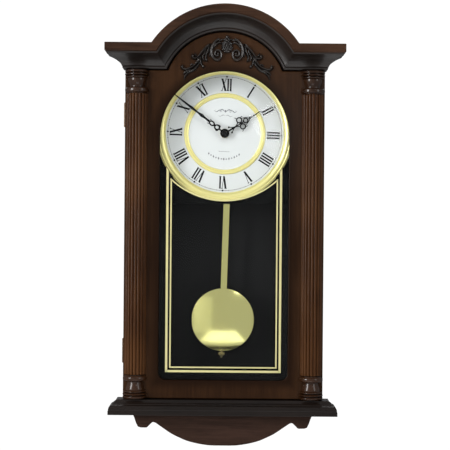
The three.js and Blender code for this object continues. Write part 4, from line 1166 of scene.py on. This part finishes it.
def upright_part(x0, x1, foot, y, arched=False):
    """A printed upright from its foot to the bezel's edge, or to the inner line's arc."""
    points = []
    for i in range(9):
        x = x0 + (x1 - x0) * i / 8
        top = ARC_CENTRE - math.sqrt(ARC_R ** 2 - x * x) if arched else clear_of_bezel(x)
        points += [(x, y, foot), (x, y, top)]
    return points, ladder(8)


def arc_part(radius, width, y, half):
    """The printed arc that runs across under the dial between x = -half and half."""
    points = []
    end = math.asin(half / ARC_R)
    for i in range(65):
        a = -end + 2 * end * i / 64
        for r in (radius - width / 2, radius + width / 2):
            points.append((r * math.sin(a), y, ARC_CENTRE - r * math.cos(a)))
    return points, ladder(64)


gold, black = [], []
GOLD_Y, BLACK_Y = -89.5, -89.46
OUTER_W, INNER_W = 1.75, 1.1     # half widths of the gold lines
for side in (-1, 1):
    edges = [side * (OUTER_LINE - OUTER_W), side * (OUTER_LINE + OUTER_W)]
    gold.append(upright_part(*edges, OUTER_FOOT - OUTER_W, GOLD_Y))
    edges = [side * (INNER_LINE - INNER_W), side * (INNER_LINE + INNER_W)]
    gold.append(upright_part(*edges, INNER_FOOT - INNER_W, GOLD_Y, arched=True))
    edges = [side * (INNER_LINE - 2.6), side * (OUTER_LINE + 3.3)]
    black.append(upright_part(*edges, OUTER_FOOT - 3.3, BLACK_Y))
gold.append(strip_part(OUTER_LINE, OUTER_FOOT - OUTER_W, OUTER_FOOT + OUTER_W, GOLD_Y))
gold.append(strip_part(INNER_LINE, INNER_FOOT - INNER_W, INNER_FOOT + INNER_W, GOLD_Y))
gold.append(arc_part(ARC_R, 2.0, GOLD_Y, INNER_LINE + INNER_W))
black.append(strip_part(OUTER_LINE, OUTER_FOOT - 3.3, INNER_FOOT + 2.6, BLACK_Y))
black.append(arc_part(ARC_R + 1.9, 2.4, BLACK_Y, INNER_LINE))
for name, parts, ink in (("gold_lines", gold, GOLD_INK), ("black_bands", black, BLACK_INK)):
    printed = printed_piece(name, parts, ink)
    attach(printed, "door")

# ---------------------------------------------------------------------------------------------------
# Pendulum: a flat rod, a domed bob with a small rolled edge, and a rating nut on its screw.
PIVOT = (5.1, -42.75, -164.0)
TILT = math.radians(1.5)
BOB_DROP = 229.2


def hang(across, y, down):
    """A point of the pendulum: across from the rod's line and down from the pivot."""
    return (
        PIVOT[0] - down * math.sin(TILT) + across * math.cos(TILT), y,
        PIVOT[2] - down * math.cos(TILT) - across * math.sin(TILT),
    )


def rod_piece():
    levels = [-4.6, -4.2] + [-4.0 + 4 * i for i in range(1, 48)] + [190.0]
    ring = soften([(-4.95, -42.0), (-4.95, -43.5), (4.95, -43.5), (4.95, -42.0)], 0.35, 20, 2, closed=True)
    sections = []
    for i, down in enumerate(levels):
        wide = 0.8 if i == 0 else 1.0
        sections.append([hang(u * wide, y, down) for u, y in ring])
    rod = mesh_piece("rod", skin(sections), BRASS, "pendulum", smooth=40)
    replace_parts(rod, "pendulum_rod")


def bob_piece():
    radius, depth, rim_y = 49.9, 7.8, -46.2
    dome = []
    for i in range(29):
        out = math.cos(math.pi / 2 * i / 28)
        dome.append((radius * out, rim_y - depth * (1 - out * out)))
    edge = smooth_line([(49.8, -44.7), (50.2, -45.1), (50.2, -45.8)], 3)
    profile = [(0.0, -44.6), (49.4, -44.6)] + edge + dome
    place = lambda r, h, a: hang(r * math.cos(a), h, BOB_DROP + r * math.sin(a))
    bob = mesh_piece("bob", lathe(profile, place, 160), BRASS, "pendulum", smooth=60,
                     weighted=False)
    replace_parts(bob, "pendulum_bob")


def rating_nut_piece():
    axis_y = PIVOT[1] - 4.6
    place = lambda r, h, a: hang(r * math.cos(a), axis_y + r * math.sin(a), BOB_DROP + h)
    sections = []
    for i in range(145):
        a = 2 * math.pi * i / 144
        r = 4.7 + 0.28 * math.cos(24 * a)
        ring = [(0.0, 52.2), (r - 0.9, 52.2), (r, 52.9), (r, 55.4), (r - 0.9, 56.1), (2.6, 56.3), (2.2, 58.4),
                (0.0, 58.4)]
        sections.append([place(q, d, a) for q, d in ring])
    wheel = skin(sections, closed_profile=False, caps=False)
    screw = soften([(0.0, 48.0), (1.4, 48.0), (1.4, 51.5), (1.4, 60.2), (0.9, 61.0), (0.0, 61.0)], 0.2)
    shape = join_parts([wheel, lathe(screw, place, 24)])
    nut = mesh_piece("rating_wheel", shape, AGED_BRASS, "pendulum", smooth=35,
                     weighted=False)
    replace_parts(nut, "rating_nut")


rod_piece()
bob_piece()
rating_nut_piece()

# ---------------------------------------------------------------------------------------------------
# Pieces whose imported shape is right keep it and take their own finish; a few boxy ones also get small
# rounded edges.
FINISHES = {
    "hanging_rail": PINE_WOOD, "hanger_plate": ZINC, "hanger_screw_left": ZINC, "hanger_screw_right": ZINC,
    "strike_plate": ZINC, "magnet_catch": ZINC,
    "service_door": BLACK_PLASTIC, "service_turn_button": BLACK_PLASTIC,
    "movement_case": BLACK_PLASTIC, "movement_cover": BLACK_PLASTIC, "setting_knob": BLACK_PLASTIC,
    "chime_switch": PALE_PLASTIC, "volume_switch": PALE_PLASTIC, "minute_wheel": WHITE_PLASTIC,
    "cell_left": CELL_SLEEVE, "cell_right": CELL_SLEEVE, "bush_nut": WORKS_BRASS, "hour_wheel": WORKS_BRASS,
    "minute_arbor": WORKS_BRASS, "speaker_basket": BLACK_PAINT, "speaker_cone": CONE_PAPER,
    "glass_retainer": BLACK_PAINT, "dial_board": BLACK_PAINT, "dial_plate": ENAMEL,
}
for place in ("top", "bottom"):
    for leaf in ("case_leaf", "door_leaf", "pin"):
        FINISHES[f"hinge_{place}_{leaf}"] = BRONZE
for node, material in FINISHES.items():
    mesh = NODES[node].data
    mesh.materials.clear()
    mesh.materials.append(material)

LINED = {
    "back_panel": (FIBRE, lambda c, n: n.y < -0.7),
    "case_side_left": (SIDE_WOOD, lambda c, n: n.x > 0.7),
    "case_side_right": (SIDE_WOOD, lambda c, n: n.x < -0.7),
    "case_top": (SIDE_WOOD, lambda c, n: n.z < -0.7),
    "case_floor": (SIDE_WOOD, lambda c, n: n.z > 0.7),
}
for node, (material, inside) in LINED.items():
    mesh = NODES[node].data
    mesh.materials.clear()
    mesh.materials.append(material)
    for face in mesh.polygons:
        face.material_index = 0
    give_faces(NODES[node], LINING, inside)


def round_edges(node, width):
    """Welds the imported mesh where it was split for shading, and rounds its sharp edges a little."""
    obj = NODES[node]
    weld = obj.modifiers.new("weld", "WELD")
    weld.merge_threshold = WELD
    bevel = obj.modifiers.new("bevel", "BEVEL")
    bevel.width = width * MM
    bevel.segments = 2
    bevel.limit_method = "ANGLE"
    bevel.angle_limit = math.radians(50)
    bevel.use_clamp_overlap = True


for node in ("case_side_left", "case_side_right", "case_top", "case_floor", "hanging_rail", "service_door"):
    round_edges(node, 0.6)


# ---------------------------------------------------------------------------------------------------
# Camera, floor and lights.
CAMERA_PLACE = (0.0016, -2.399, -0.2418)
CAMERA_LENS = 117.8              # on a sensor 36 mm wide
FLOOR_R, FLOOR_Z = 1050, -1300.0
MIDDLE = (0, -0.09, -0.25)       # what the large lamps point at, in metres
BOB = (0, -0.05, -0.4)
LAMPS = [  # name, place, target, width, height, watts
    ("left_softbox", (-1.8, -1.6, 0.3), MIDDLE, 0.8, 1.7, 65),
    ("right_softbox", (1.9, -1.7, 0.3), MIDDLE, 0.7, 1.5, 12),
    ("overhead", (0.0, -1.7, 1.3), MIDDLE, 1.6, 0.7, 15),
    ("front_fill", (0.0, -2.8, -0.05), MIDDLE, 1.2, 1.2, 15),
    ("low_card", (0.0, -1.17, -0.86), (0, -1.17, 0.0), 0.86, 0.77, 2.7),
    ("left_card", (-1.0, -1.9, -0.3), BOB, 1.1, 1.6, 1.3),
    ("bob_glint", (0.75, -1.75, 0.72), BOB, 0.5, 0.25, 1.3),
    ("window_pane", (0.236, -3.0, 0.1225), (0.236, 0.0, 0.1225), 0.25, 0.20, 1.25),
    ("back_fill", (0.0, 2.0, 1.4), (0, 0, -0.25), 2.0, 1.6, 40),
]


def camera():
    data = bpy.data.cameras.new("camera")
    data.sensor_width = 36.0
    data.lens = CAMERA_LENS
    data.clip_start = 0.05
    made = place_object("camera", data)
    made.location = CAMERA_PLACE
    made.rotation_euler = (math.radians(90), math.radians(-0.466), 0)
    bpy.context.scene.camera = made


def floor():
    points = [(x, y, FLOOR_Z) for x, y in disc(0, 0, FLOOR_R, 96)]
    made = mesh_piece("floor", (points, [list(range(96))]), None, None, weighted=False)
    shader = Shader("floor_white", Roughness=0.9)
    tone = shader.mix(shader.ramp(shader.noise(3.0), 0.3, 0.7), (0.90, 0.90, 0.90), (0.86, 0.86, 0.86))
    made.data.materials.append(shader.set(Base_Color=tone))


def sky():
    """A world that is white to the camera and lights the object from a soft front-to-back ramp."""
    world = bpy.data.worlds.new("studio")
    bpy.context.scene.world = world
    world.use_nodes = True
    tree = world.node_tree
    tree.nodes.clear()
    new = lambda kind: tree.nodes.new("ShaderNode" + kind)
    out, seen, lit = new("OutputWorld"), new("Background"), new("Background")
    seen.inputs[0].default_value = (1, 1, 1, 1)
    seen.inputs[1].default_value = 1.05
    lit.inputs[1].default_value = 1.0
    heading, split, shift = new("TexCoord"), new("SeparateXYZ"), new("MapRange")
    shift.inputs["From Min"].default_value = -1.0
    shift.inputs["From Max"].default_value = 1.0
    ramp, path, mix = new("ValToRGB"), new("LightPath"), new("MixShader")
    stops = ramp.color_ramp.elements
    stops[0].position, stops[0].color = 0.0, (0.50, 0.505, 0.51, 1)
    stops[1].position, stops[1].color = 1.0, (0.10, 0.10, 0.105, 1)
    stops.new(0.5).color = (0.52, 0.53, 0.54, 1)
    for source, socket in (
        (heading.outputs["Generated"], split.inputs[0]), (split.outputs[1], shift.inputs["Value"]),
        (shift.outputs["Result"], ramp.inputs[0]), (ramp.outputs[0], lit.inputs[0]),
        (path.outputs["Is Camera Ray"], mix.inputs[0]), (lit.outputs[0], mix.inputs[1]),
        (seen.outputs[0], mix.inputs[2]), (mix.outputs[0], out.inputs[0]),
    ):
        tree.links.new(source, socket)


def softbox(name, place, target, width, height, watts):
    data = bpy.data.lights.new(name, "AREA")
    data.shape = "RECTANGLE"
    data.size, data.size_y = width, height
    data.energy = watts
    lamp = place_object(name, data)
    lamp.location = place
    lamp.visible_camera = False
    lamp.rotation_euler = (Vector(target) - Vector(place)).to_track_quat("-Z", "Y").to_euler()
    return lamp


def studio():
    camera()
    floor()
    sky()
    lamps = {values[0]: softbox(*values) for values in LAMPS}
    for name in ("overhead", "front_fill"):
        lamps[name].visible_glossy = False
    # the window's reflection falls on the pane and the door alone
    lamps["window_pane"].rotation_euler.rotate_axis("Z", math.radians(32))
    seen_in = bpy.data.collections.new("seen_in_pane")
    for piece in (pane, door):
        seen_in.objects.link(piece)
    lamps["window_pane"].light_linking.receiver_collection = seen_in
    bpy.context.scene.view_settings.view_transform = "Standard"
    bpy.context.scene.view_settings.look = "None"


studio()
